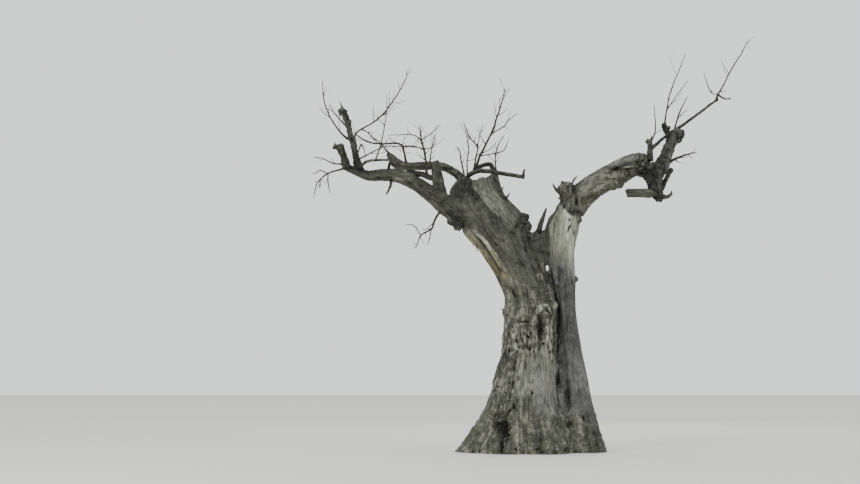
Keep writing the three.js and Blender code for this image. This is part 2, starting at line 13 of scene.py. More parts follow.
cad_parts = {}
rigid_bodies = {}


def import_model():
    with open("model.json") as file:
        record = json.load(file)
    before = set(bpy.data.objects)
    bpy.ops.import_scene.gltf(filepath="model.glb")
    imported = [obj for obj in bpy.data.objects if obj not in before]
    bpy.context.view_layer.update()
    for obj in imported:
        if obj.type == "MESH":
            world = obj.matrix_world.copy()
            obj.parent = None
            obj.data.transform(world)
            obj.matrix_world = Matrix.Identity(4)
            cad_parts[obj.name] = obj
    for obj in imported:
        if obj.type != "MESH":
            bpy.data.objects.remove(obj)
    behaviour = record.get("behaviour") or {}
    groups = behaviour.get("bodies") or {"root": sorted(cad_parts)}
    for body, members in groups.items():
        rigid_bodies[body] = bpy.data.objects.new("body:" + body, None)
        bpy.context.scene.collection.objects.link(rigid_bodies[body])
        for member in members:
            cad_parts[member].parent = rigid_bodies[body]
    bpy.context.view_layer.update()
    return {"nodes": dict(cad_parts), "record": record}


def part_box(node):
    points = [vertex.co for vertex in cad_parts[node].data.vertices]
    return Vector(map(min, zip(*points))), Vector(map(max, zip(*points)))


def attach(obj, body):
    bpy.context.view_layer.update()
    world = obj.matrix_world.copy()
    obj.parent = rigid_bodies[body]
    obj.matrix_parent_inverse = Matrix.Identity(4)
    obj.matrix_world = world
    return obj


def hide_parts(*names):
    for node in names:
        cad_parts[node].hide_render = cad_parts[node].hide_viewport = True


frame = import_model()
cadNodes = frame["nodes"]
cadOrder = [entry["node"] for entry in frame["record"]["subparts"]]


def linearColour(hexText):
    channels = [int(hexText[i:i + 2], 16) / 255 for i in (1, 3, 5)]
    return [c / 12.92 if c < 0.04045 else ((c + 0.055) / 1.055) ** 2.4 for c in channels] + [1]


# Adds a node with its settings; an input is a node or socket to link, a value, or a hex colour.
def addNode(tree, kind, inputs=None, **settings):
    node = tree.nodes.new("ShaderNode" + kind)
    for name, value in settings.items():
        setattr(node, name, value)
    for name, value in (inputs or {}).items():
        if isinstance(value, bpy.types.Node):
            value = next(output for output in value.outputs if output.enabled)
        if isinstance(value, bpy.types.NodeSocket):
            tree.links.new(value, node.inputs[name])
        elif isinstance(value, str):
            node.inputs[name].default_value = linearColour(value)
        else:
            node.inputs[name].default_value = value
    return node


def newObject(name, data):
    made = bpy.data.objects.new(name, data)
    bpy.context.scene.collection.objects.link(made)
    return made


# Camera: a 50 mm lens on a tripod, tilted up a little, with the tree right of its middle.
camera = {"lens": 50, "sensor": 36, "place": (-1.735, -19.1, 1.081), "tilt": 6.73, "farthest": 300}


def makeCamera():
    data = bpy.data.cameras.new("camera")
    data.lens = camera["lens"]
    data.sensor_width = camera["sensor"]
    data.clip_end = camera["farthest"]
    holder = newObject("camera", data)
    holder.location = camera["place"]
    holder.rotation_euler = (math.radians(90 + camera["tilt"]), 0, 0)
    bpy.context.scene.camera = holder


# Studio: a pale floor, a soft key from the left, a weaker fill from the right and a pale world.
studio = {
    "floor": {"half": 90, "colour": "#d9d7d2", "roughness": 0.9},
    "world": {"colour": "#eceeef", "strength": 1.5},
    "lamps": [
        {"name": "key", "place": (-10, -12, 12), "size": 6, "watts": 1100},
        {"name": "fill", "place": (13, -9, 5), "size": 8, "watts": 150},
        {"name": "back", "place": (3, 12, 9), "size": 6, "watts": 350},
    ],
    "aim": (0, 0, 3.2),
}


def makeStudio():
    mesh = bpy.data.meshes.new("floor")
    floor = bmesh.new()
    bmesh.ops.create_grid(floor, x_segments=2, y_segments=2, size=studio["floor"]["half"])
    floor.to_mesh(mesh)
    floor.free()
    ground = newObject("floor", mesh)
    paint = bpy.data.materials.new("paleStudioPaint")  # matt emulsion, no gloss
    paint.use_nodes = True
    shader = paint.node_tree.nodes["Principled BSDF"]
    shader.inputs["Base Color"].default_value = linearColour(studio["floor"]["colour"])
    shader.inputs["Roughness"].default_value = studio["floor"]["roughness"]
    mesh.materials.append(paint)
    world = bpy.data.worlds.new("world")
    world.use_nodes = True
    background = world.node_tree.nodes["Background"]
    background.inputs["Color"].default_value = linearColour(studio["world"]["colour"])
    background.inputs["Strength"].default_value = studio["world"]["strength"]
    bpy.context.scene.world = world
    for lamp in studio["lamps"]:
        data = bpy.data.lights.new(lamp["name"], "AREA")
        data.energy = lamp["watts"]
        data.size = lamp["size"]
        holder = newObject(lamp["name"], data)
        holder.location = lamp["place"]
        aim = Vector(studio["aim"]) - Vector(lamp["place"])
        holder.rotation_mode = "QUATERNION"
        holder.rotation_quaternion = aim.to_track_quat("-Z", "Y")


# Weathered wood: old grey bark over bare, sun-bleached wood. The mesh says where each shows: tone is how
# light the bark is, bare, pale, warm, cool and green how the wood is stained, though pale also holds painted
# highlights and cool partly the side stem's painted shade, and the hollow layer how much painted shade
# darkens its holes, cracks, creases and clefts.
# The streaks run along the grain, which the mesh also carries. Sizes are in metres.
weathered = {
    "barkDark": "#272824", "barkMid": "#5c5d52", "barkLight": "#a9ab97",
    # The cool greys: grey bark, and on the side stem partly its painted shade.
    "coolDark": "#3b3b3c", "coolLight": "#6e6d6d",
    "bareDark": "#4d4f45", "bareLight": "#898b7b", "paleDark": "#868a7b", "paleLight": "#cdd1be",
    "green": "#8a9877", "warmDark": "#51482f", "warmLight": "#a1946a",
    # The crevice colour: the near-black of the painted shade in holes, cracks and creases, and of the grit's
    # dark flecks.
    "moss": "#575d46", "creviceShadeAndGrit": "#0d0b09",
    "roughness": 0.92, "specular": 0.25, "toneBase": 0.3,
    # Noises: the width of a fleck, its length along the grain, its detail and roughness.
    "noises": {
        "streak": {"across": 0.02, "along": 0.3, "detail": 4, "roughness": 0.6},
        "fibre": {"across": 0.007, "along": 0.15, "detail": 2, "roughness": 0.5},
        "patch": {"across": 0.12, "detail": 4, "roughness": 0.6},
        "moss": {"across": 0.2, "detail": 3, "roughness": 0.5},
        "grit": {"across": 0.012, "detail": 3, "roughness": 0.65},
    },
    # What the noises give: the noise, where it starts and ends, and its greatest share.
    "shares": {
        "patchTone": ("patch", 0.3, 0.7, 0.4), "streakTone": ("streak", 0.35, 0.7, 0.22),
        "moss": ("moss", 0.5, 0.7, 0.38), "grit": ("grit", 0.55, 0.75, 0.3),
        "bare": ("streak", 0.36, 0.62, 1), "pale": ("streak", 0.34, 0.6, 1), "warm": ("fibre", 0.3, 0.65, 1),
    },
    # What the tone gives: where each colour starts and ends.
    "tones": {"mid": (0, 0.5), "light": (0.5, 1), "cool": (0.1, 0.7)},
    "crackAcross": 0.035, "crackAlong": 0.14, "crackWidth": (0.02, 0.12), "crackShadeShare": 0.3,
    "bumpDepth": 0.007, "bumpGrit": 0.4, "bumpCrack": 0.5, "bumpStrength": 0.6,
}


def weatheredWood():
    look = weathered
    material = bpy.data.materials.new("weatheredWood")  # dead bark and bleached, long-grained wood
    material.use_nodes = True
    tree = material.node_tree
    shader = tree.nodes["Principled BSDF"]
    shader.inputs["Roughness"].default_value = look["roughness"]
    shader.inputs["Specular IOR Level"].default_value = look["specular"]
    grain = addNode(tree, "Attribute", attribute_name="grain").outputs["Vector"]
    place = addNode(tree, "TexCoord").outputs["Object"]
    worn, noises, shares, finishes = {}, {}, {}, {}
    for name in ("tone", "hollow", "bare", "pale", "warm", "cool", "green"):
        worn[name] = addNode(tree, "Attribute", attribute_name=name).outputs["Fac"]
    for name, noise in look["noises"].items():
        along = noise.get("along", noise["across"])
        spread = addNode(tree, "Mapping", {
            "Vector": grain if "along" in noise else place,
            "Scale": (1 / noise["across"], 1 / noise["across"], 1 / along)})
        noises[name] = addNode(tree, "TexNoise", {
            "Vector": spread, "Scale": 1, "Detail": noise["detail"], "Roughness": noise["roughness"]})
    for name, (noise, low, high, most) in look["shares"].items():
        shares[name] = addNode(tree, "MapRange", {
            "Value": noises[noise], "From Min": low, "From Max": high, "To Max": most})
    tone = worn["tone"]
    for operation, change in (("ADD", shares["patchTone"]), ("ADD", shares["streakTone"]),
                              ("SUBTRACT", look["toneBase"])):
        tone = addNode(tree, "Math", {0: tone, 1: change}, operation=operation, use_clamp=True)
    for name, (low, high) in look["tones"].items():
        shares[name] = addNode(tree, "MapRange", {
            "Value": tone, "From Min": low, "From Max": high})
    for name in ("cool", "bare", "pale", "warm"):
        finishes[name] = addNode(tree, "Mix", {
            0: shares[name], 6: look[name + "Dark"], 7: look[name + "Light"]}, data_type="RGBA")

    # Cracks between cells drawn out along the grain, in the bark alone, darkened with painted shade and sunk
    # by the bump.
    spread = addNode(tree, "Mapping", {"Vector": grain, "Scale": (
        1 / look["crackAcross"], 1 / look["crackAcross"], 1 / look["crackAlong"])})
    sway = addNode(tree, "TexNoise", {"Vector": spread, "Scale": 1.5, "Detail": 3})
    swayed = addNode(tree, "VectorMath", {0: spread, 1: sway.outputs["Color"]}, operation="ADD")
    cells = addNode(tree, "TexVoronoi", {"Vector": swayed, "Scale": 1}, feature="DISTANCE_TO_EDGE")
    crack = addNode(tree, "MapRange", {
        "Value": cells.outputs["Distance"], "From Min": look["crackWidth"][0],
        "From Max": look["crackWidth"][1], "To Min": 1, "To Max": 0})
    bark = addNode(tree, "Math", {0: 1.0, 1: worn["bare"]}, operation="SUBTRACT", use_clamp=True)
    crack = addNode(tree, "Math", {0: crack, 1: bark}, operation="MULTIPLY")
    crackShade = addNode(tree, "Math", {0: crack, 1: look["crackShadeShare"]}, operation="MULTIPLY")
    crackDepth = addNode(tree, "Math", {0: crack, 1: look["bumpCrack"]}, operation="MULTIPLY")
    # Painted shade: the hollow layer and the bark's cracks, with the grit's dark flecks, darken the colour
    # towards the crevice colour.
    dark = worn["hollow"]
    for change in (shares["grit"], crackShade):
        dark = addNode(tree, "Math", {0: dark, 1: change}, operation="ADD", use_clamp=True)

    # The bare wood, then the whole: each colour laid over the last by its share.
    bare = finishes["bare"]
    bleached = addNode(tree, "Mix", {
        0: worn["green"], 6: finishes["pale"], 7: look["green"]}, data_type="RGBA")
    for share, over in ((worn["pale"], bleached), (worn["warm"], finishes["warm"])):
        bare = addNode(tree, "Mix", {0: share, 6: bare, 7: over}, data_type="RGBA")
    colour = look["barkDark"]
    for share, over in ((shares["mid"], look["barkMid"]), (shares["light"], look["barkLight"]),
                        (shares["moss"], look["moss"]), (worn["cool"], finishes["cool"]),
                        (worn["bare"], bare), (dark, look["creviceShadeAndGrit"])):
        colour = addNode(tree, "Mix", {0: share, 6: colour, 7: over}, data_type="RGBA")
    tree.links.new(colour.outputs[2], shader.inputs["Base Color"])
    height = addNode(tree, "Mix", {
        0: look["bumpGrit"], 6: noises["streak"], 7: noises["grit"]}, data_type="RGBA")
    height = addNode(tree, "Math", {0: height, 1: crackDepth},
                     operation="SUBTRACT", use_clamp=True)
    bump = addNode(tree, "Bump", {
        "Height": height, "Strength": look["bumpStrength"], "Distance": look["bumpDepth"]})
    tree.links.new(bump.outputs["Normal"], shader.inputs["Normal"])
    return material


twigLook = {"dark": "#1d1813", "light": "#4b4238", "patch": 0.12, "roughness": 0.85, "specular": 0.25}


def dryTwigBark():
    material = bpy.data.materials.new("dryTwigBark")  # thin, smooth, dark brown bark, matt
    material.use_nodes = True
    tree = material.node_tree
    shader = tree.nodes["Principled BSDF"]
    place = addNode(tree, "TexCoord").outputs["Object"]
    patch = addNode(tree, "TexNoise", {
        "Vector": place, "Scale": 1 / twigLook["patch"], "Detail": 3})
    colour = addNode(tree, "Mix", {
        0: patch.outputs["Fac"], 6: twigLook["dark"], 7: twigLook["light"]}, data_type="RGBA")
    tree.links.new(colour.outputs[2], shader.inputs["Base Color"])
    shader.inputs["Roughness"].default_value = twigLook["roughness"]
    shader.inputs["Specular IOR Level"].default_value = twigLook["specular"]
    return material


# Smooth noise from about -1 to 1, one value for each point: each corner of a cell picks one of 1024 slopes.
def smoothNoise(points, seed):
    cell = np.floor(points).astype(np.int64)
    inside = points - cell
    fade = inside ** 3 * (inside * (inside * 6 - 15) + 10)
    slopes = np.random.default_rng(seed).normal(size=(1024, 3))
    slopes /= np.linalg.norm(slopes, axis=1, keepdims=True)
    total = np.zeros(len(points))
    for corner in itertools.product((0, 1), repeat=3):
        mixedCell = (cell + corner) @ np.array([73856093, 19349663, 83492791])
        slope = slopes[(mixedCell ^ (mixedCell >> 11)) & 1023]
        weight = np.prod(np.where(corner, fade, 1 - fade), axis=1)
        total += weight * np.einsum("ij,ij->i", slope, inside - corner)
    return total * 1.7


def smoothStep(values, low, high):
    share = np.clip((values - low) / (high - low), 0, 1)
    return share * share * (3 - 2 * share)


# 1 between two limits, easing off outside them.
def within(values, low, high, ease):
    return smoothStep(values, low - ease, low + ease) * (1 - smoothStep(values, high - ease, high + ease))


def ridge(values, width):
    return np.exp(-(values / width) ** 2)


# The mesh's values as an array, one row for each vertex, edge or normal.
def valuesOf(sequence, key, width=3, kind=np.float32):
    values = np.empty(len(sequence) * width, dtype=kind)
    sequence.foreach_get(key, values)
    return values.reshape(-1, width)


# Writes one value or one vector for each vertex, under a name that the material reads.
def writeLayer(mesh, name, values):
    kind, key = ("FLOAT", "value") if values.ndim == 1 else ("FLOAT_VECTOR", "vector")
    mesh.attributes.new(name, kind, "POINT").data.foreach_set(key, values.ravel())


# The two stems that the grain follows from the roots to the broken tops: x, y, z and radius.
stemLines = {
    "mainStem": [
        (-0.16, 0, 0, 0.735), (-0.18, 0, 0.69, 0.572), (-0.165, 0, 1.18, 0.462), (-0.13, 0, 1.68, 0.408),
        (-0.13, 0, 2.18, 0.438), (-0.2, 0, 2.64, 0.398), (-0.354, 0, 2.96, 0.41), (-0.5, 0, 3.21, 0.424),
        (-0.685, 0.01, 3.53, 0.532), (-0.76, 0.07, 3.78, 0.561), (-0.93, 0.17, 4.04, 0.486),
        (-0.94, 0.28, 4.45, 0.312)],
    "sideStem": [
        (0.64, 0.03, 0, 0.4), (0.566, 0.03, 0.65, 0.294), (0.448, 0.01, 1.62, 0.224),
        (0.385, 0, 2.64, 0.222), (0.352, 0, 3.12, 0.218), (0.384, 0, 3.5, 0.262),
        (0.434, 0, 3.72, 0.272), (0.505, 0, 3.9, 0.214), (0.535, -0.01, 4.04, 0.14)],
}


# A limb's middle line and radii, found from its CAD solid by slices across its longest way.
def limbLine(name, slices=9):
    points = valuesOf(cadNodes[name].data.vertices, "co", kind=float)
    points = np.unique(points.round(5), axis=0)
    middle = points.mean(axis=0)
    way = np.linalg.svd(points - middle, full_matrices=False)[2][0]
    reach = (points - middle) @ way
    edges = np.linspace(reach.min(), reach.max(), slices + 1)
    rows = []
    for low, high in zip(edges[:-1], edges[1:]):
        slab = points[(reach >= low) & (reach <= high)]
        if len(slab) > 3:
            heart = slab.mean(axis=0)
            across = (slab - heart) - np.outer((slab - heart) @ way, way)
            rows.append([*heart, np.linalg.norm(across, axis=1).mean()])
    return rows


# Where points lie on a line: along it, round it, and how far off, with and without what lies past its ends.
def grainPlaces(points, rows, spacing=0.03, easing=6, batch=20000):
    rows = np.array(rows)
    steps = np.linalg.norm(np.diff(rows[:, :3], axis=0), axis=1)
    stations = np.concatenate([[0], np.cumsum(steps)])
    fine = np.arange(0, stations[-1] + spacing, spacing)
    line = np.stack([np.interp(fine, stations, rows[:, k]) for k in range(4)], axis=1)
    for _ in range(easing):
        line[1:-1] = (line[:-2] + 2 * line[1:-1] + line[2:]) / 4
    tangent = np.gradient(line[:, :3], axis=0)
    tangent /= np.linalg.norm(tangent, axis=1, keepdims=True)
    nearest = np.empty(len(points), dtype=np.int64)
    for start in range(0, len(points), batch):
        part = points[start:start + batch]
        gaps = (part ** 2).sum(1)[:, None] - 2 * part @ line[:, :3].T + (line[:, :3] ** 2).sum(1)
        nearest[start:start + batch] = np.argmin(gaps, axis=1)
    offset = points - line[nearest, :3]
    forward = np.einsum("ij,ij->i", offset, tangent[nearest])
    out = offset - forward[:, None] * tangent[nearest]
    across = np.cross((0, 1, 0), tangent)
    across /= np.linalg.norm(across, axis=1, keepdims=True)
    front = np.cross(across, tangent)
    turn = np.arctan2(np.einsum("ij,ij->i", out, front[nearest]),
                      np.einsum("ij,ij->i", out, across[nearest]))
    radius = line[nearest, 3]
    return {"along": fine[nearest] + forward, "turn": turn, "radius": radius, "total": stations[-1],
            "share": np.linalg.norm(offset, axis=1) / radius,
            "inner": np.linalg.norm(out, axis=1) / radius, "tangent": tangent[nearest],
            "girth": float(np.median(rows[:, 3]))}


# How each limb's surface is worn: tone is how light its bark is, bare how much of it is bare wood, relief
# how deep its furrows are, jag how far its broken end splinters, pits and knots how many it has, gnarl how
# far it is knobbed and swell how far it stands out all round.
wornAs = {
    "mainStem": {"tone": 0.42, "bare": 0.14, "jag": 0.09, "pits": 22, "knots": 12},
    "sideStem": {"tone": 0.34, "bare": 0.04, "relief": 0.6, "pits": 6, "knots": 4},
    "arch": {"tone": 0.42, "bare": 0.16, "relief": 0.9, "pits": 8, "knots": 4, "gnarl": 0.006,
             "swell": 0.009},
    "burl": {"tone": 0.36, "bare": 0.06, "relief": 1.3, "jag": 0.02, "pits": 6, "gnarl": 0.024},
    "broken_stem": {"tone": 0.26, "bare": 0.06, "relief": 0.8, "jag": 0.07, "pits": 6, "knots": 1,
                    "gnarl": 0.008},
    "hook": {"tone": 0.19, "relief": 1.2, "jag": 0.02, "pits": 3, "knots": 2, "gnarl": 0.022,
             "swell": 0.009},
    "high_bough": {"tone": 0.16, "relief": 1.1, "jag": 0.03, "pits": 3, "knots": 3, "gnarl": 0.018,
                   "swell": 0.012},
    "left_bough": {"tone": 0.24, "relief": 0.8, "pits": 5, "knots": 5, "gnarl": 0.004},
    "left_stub": {"tone": 0.18, "jag": 0.05, "pits": 2, "knots": 2, "gnarl": 0.014},
    "upper_bough": {"tone": 0.2, "jag": 0.03, "pits": 2, "knots": 4, "gnarl": 0.01, "swell": 0.006},
    "upright_bough": {"tone": 0.18, "relief": 0.8, "jag": 0.03, "pits": 2, "knots": 4, "gnarl": 0.009,
                      "swell": 0.012},
    "hook_arm": {"tone": 0.34, "bare": 0.14, "relief": 0.6, "jag": 0.08, "swell": 0.008},
    "hook_spur": {"tone": 0.16, "relief": 0.6, "jag": 0.02, "gnarl": 0.006, "swell": 0.013},
    "spray_loop": {"tone": 0.14, "relief": 0.6, "swell": 0.007},
    "right_spray_bough": {"tone": 0.16, "relief": 0.6, "knots": 2, "swell": 0.007},
}
plainWear = {"tone": 0.16, "bare": 0, "relief": 0.8, "jag": 0.01, "pits": 1, "knots": 2, "gnarl": 0.005,
             "swell": 0.004}
wearDefaults = {"bare": 0.01, "relief": 1, "jag": 0, "pits": 0, "knots": 0, "gnarl": 0, "swell": 0}

# The bark's own shapes: the width of one, its length along the grain and its depth.
barkForm = {
    "swelling": {"width": 0.22, "length": 0.6, "depth": 0.018},
    "furrow": {"width": 0.1, "length": 0.9, "depth": 0.018},
    "rib": {"width": 0.06, "length": 1.1, "depth": 0.008},
    "plate": {"width": 0.045, "length": 0.16, "depth": 0.007},
    "fibre": {"width": 0.022, "length": 0.5, "depth": 0.004},
    # gnarl: the knobs' width, how far they change the tone, and how much painted shade fills the dips
    # between them.
    "gnarl": {"width": 0.055, "tone": 9, "dark": 35},
    "pit": {"width": (0.01, 0.024), "length": (0.015, 0.05), "depth": (0.012, 0.03)},
    "knot": {"ring": (0.02, 0.045), "rise": 0.012, "sink": 0.02},
    "fullGirth": 0.35, "knotGirth": 0.2, "markReach": 0.16,
}


# Knobs of two sizes with no grain, each about as wide as the first.
def knobNoise(points, width, seed):
    return smoothNoise(points / width, seed) + 0.5 * smoothNoise(points / (0.45 * width), seed + 1)


def grainNoise(place, size, seed, warp=0):
    turn = place["turn"]
    across = place["girth"] / size["width"]
    return smoothNoise(np.stack([np.cos(turn) * across + warp, np.sin(turn) * across - warp,
                                 place["along"] / size["length"]], axis=1), seed)


# One limb's relief and wear at its points, with painted shade in its cracks, seams, knob dips, pits and the
# hearts of its knots.
def limbRelief(points, place, wear, seed):
    depth = min(1, (place["girth"] / barkForm["fullGirth"]) ** 0.7) * wear["relief"]
    swelling = grainNoise(place, barkForm["swelling"], seed)
    warp = 0.5 * swelling
    furrow = grainNoise(place, barkForm["furrow"], seed + 1, warp)
    plate = grainNoise(place, barkForm["plate"], seed + 2, warp)
    fibre = grainNoise(place, barkForm["fibre"], seed + 3, warp)
    cracked = smoothStep(grainNoise(place, barkForm["swelling"], seed + 4), -0.3, 0.3)
    rib = grainNoise(place, barkForm["rib"], seed + 5, warp)
    knobs = knobNoise(points, barkForm["gnarl"]["width"], seed + 6)
    crack = ridge(furrow, 0.09) * (0.2 + 0.8 * cracked)
    seam = ridge(plate, 0.14) * smoothStep(swelling + cracked, 0.2, 0.9)
    bareSeen = smoothStep(swelling + 0.5 * furrow, 1 - 2.4 * wear["bare"], 1.25 - 2.4 * wear["bare"])
    relief = barkForm["swelling"]["depth"] * swelling * depth
    relief -= barkForm["furrow"]["depth"] * crack * depth
    relief -= barkForm["plate"]["depth"] * seam * depth * (1 - bareSeen)
    relief += barkForm["fibre"]["depth"] * fibre + barkForm["rib"]["depth"] * rib * depth
    relief += wear["gnarl"] * knobs + wear["swell"]
    hollow = np.clip(0.6 * crack + 0.25 * seam * (1 - bareSeen) - 0.1, 0, 1)
    hollow = np.maximum(hollow, barkForm["gnarl"]["dark"] * wear["gnarl"] * smoothStep(-knobs, 0.5, 0.9))
    tone = wear["tone"] + 0.25 * swelling + 0.15 * fibre + 0.12 * plate + 0.16 * rib
    tone += barkForm["gnarl"]["tone"] * wear["gnarl"] * knobs
    random = np.random.default_rng(seed)
    for kind in ["pit"] * wear["pits"] + ["knot"] * wear["knots"]:
        along = random.uniform(0.03, 0.97) * place["total"]
        turn = random.uniform(-math.pi, math.pi)
        near = np.nonzero(np.abs(place["along"] - along) < barkForm["markReach"])[0]
        around = np.angle(np.exp(1j * (place["turn"][near] - turn))) * place["radius"][near]
        beyond = place["along"][near] - along
        if kind == "pit":
            pit = [random.uniform(*barkForm["pit"][key]) for key in ("width", "length", "depth")]
            width, length, deep = pit
            dent = np.exp(-((around / width) ** 2 + (beyond / length) ** 2) ** 1.5)
            relief[near] -= dent * deep * depth
            hollow[near] = np.maximum(hollow[near], 0.9 * dent)
        else:
            size = random.uniform(*barkForm["knot"]["ring"])
            size *= min(1, place["girth"] / barkForm["knotGirth"])
            gap = np.hypot(around, beyond * 0.8)
            relief[near] += barkForm["knot"]["rise"] * ridge(gap - size, 0.4 * size) * depth
            relief[near] -= barkForm["knot"]["sink"] * ridge(gap, 0.5 * size) * depth
            hollow[near] = np.maximum(hollow[near], 0.8 * ridge(gap, 0.45 * size))
            tone[near] += 0.25 * ridge(gap - size, 0.4 * size)
    zero = np.zeros(len(relief))
    return {"relief": relief, "hollow": hollow, "bare": bareSeen, "tone": tone,
            "pale": zero + 0.3, "warm": zero, "cool": zero, "green": zero}


# Places on the front of the trunk and the great limbs, x and z along each path.
marks = {
    "faceEdge": [(-1.03, 4.19), (-0.97, 4.13), (-0.92, 4.03), (-0.87, 3.96), (-0.81, 3.88), (-0.78, 3.82),
                 (-0.72, 3.76), (-0.67, 3.71), (-0.6, 3.66), (-0.56, 3.61), (-0.49, 3.53), (-0.43, 3.48),
                 (-0.36, 3.42)],
    "faceRim": [(-0.31, 3.65), (-0.35, 3.74), (-0.42, 3.86), (-0.48, 3.96), (-0.54, 4.07), (-0.61, 4.23),
                (-0.65, 4.4)],
    "strip": [(-0.41, 2.38), (-0.43, 2.54), (-0.46, 2.7), (-0.5, 2.81), (-0.6, 2.98), (-0.72, 3.17),
              (-0.83, 3.32), (-0.97, 3.46)],
    "stripBack": [(-0.32, 2.36), (-0.14, 2.6), (0.02, 2.8), (0.13, 3), (0.12, 3.3), (0.03, 3.5),
                  (-0.1, 3.62)],
    "cleft": [(0.31, 0.66), (0.29, 0.82), (0.28, 1.13), (0.29, 1.44), (0.31, 1.67), (0.31, 2.22),
              (0.28, 2.38), (0.25, 2.54), (0.21, 2.7), (0.19, 2.82), (0.17, 2.95)],
    "bleachedLeft": [(0.22, 2.8), (0.2, 3), (0.18, 3.3), (0.19, 3.6), (0.24, 3.7), (0.29, 3.8), (0.34, 3.9)],
    "bleachedTop": [(0.2, 3.98), (0.36, 3.95), (0.4, 3.86), (0.45, 3.79), (0.52, 3.735), (0.6, 3.72),
                    (0.65, 3.6)],
    "burlCrack": [(0.62, 3.83), (0.61, 4), (0.59, 4.16), (0.58, 4.31)],
}

# Where the marks begin and end, up the tree or across it, and how softly.
bands = {
    "face": (-1.05, -0.3, 0.03), "faceShadow": (-0.97, -0.6, 0.03), "strip": (2.36, 3.5, 0.1),
    "split": (2.8, 3.4, 0.06), "underside": (2.9, 3.55, 0.15), "cleft": (0.7, 2.93, 0.05),
    "cleftSide": (-0.01, 0.15, 0.03), "cleftFoot": (0.7, 1.4, 0.1), "grey": (0.6, 3, 0.15),
    "notch": (2.05, 2.35, 0.06), "wrinkles": (2.32, 2.66, 0.05), "wrinklesAcross": (-0.16, 0.3, 0.08),
    "waist": (1.5, 2.12, 0.1), "flank": (0.6, 1.7, 0.2), "smooth": (0.8, 1.5, 0.25),
    "panelAcross": (-0.14, 0.3, 0.05), "panel": (0.62, 1.36, 0.12), "burlCrack": (3.83, 4.34, 0.03),
}

# The noises that break the marks up: the size of a fleck, or its size on x, y and z, and the seed.
markNoises = {
    "torn": (0.07, 71), "cleftEdge": (0.09, 79), "stripe": ((0.045, 0.045, 1.6), 80),
    "broadStripe": ((0.11, 0.11, 2.5), 81), "cells": ((0.03, 0.03, 0.08), 75),
    "patches": ((0.05, 0.05, 0.1), 82), "broadPatches": ((0.25, 0.25, 0.5), 85), "rollHeight": (0.3, 73),
    "rollWidth": ((0.09, 0.09, 0.05), 74), "wrinkleSway": ((0.2, 0.2, 0.1), 83), "crownEdge": (0.4, 86),
    "crownGrit": (0.035, 87), "archMottle": (0.08, 90), "spotEdge": (0.035, 91),
}
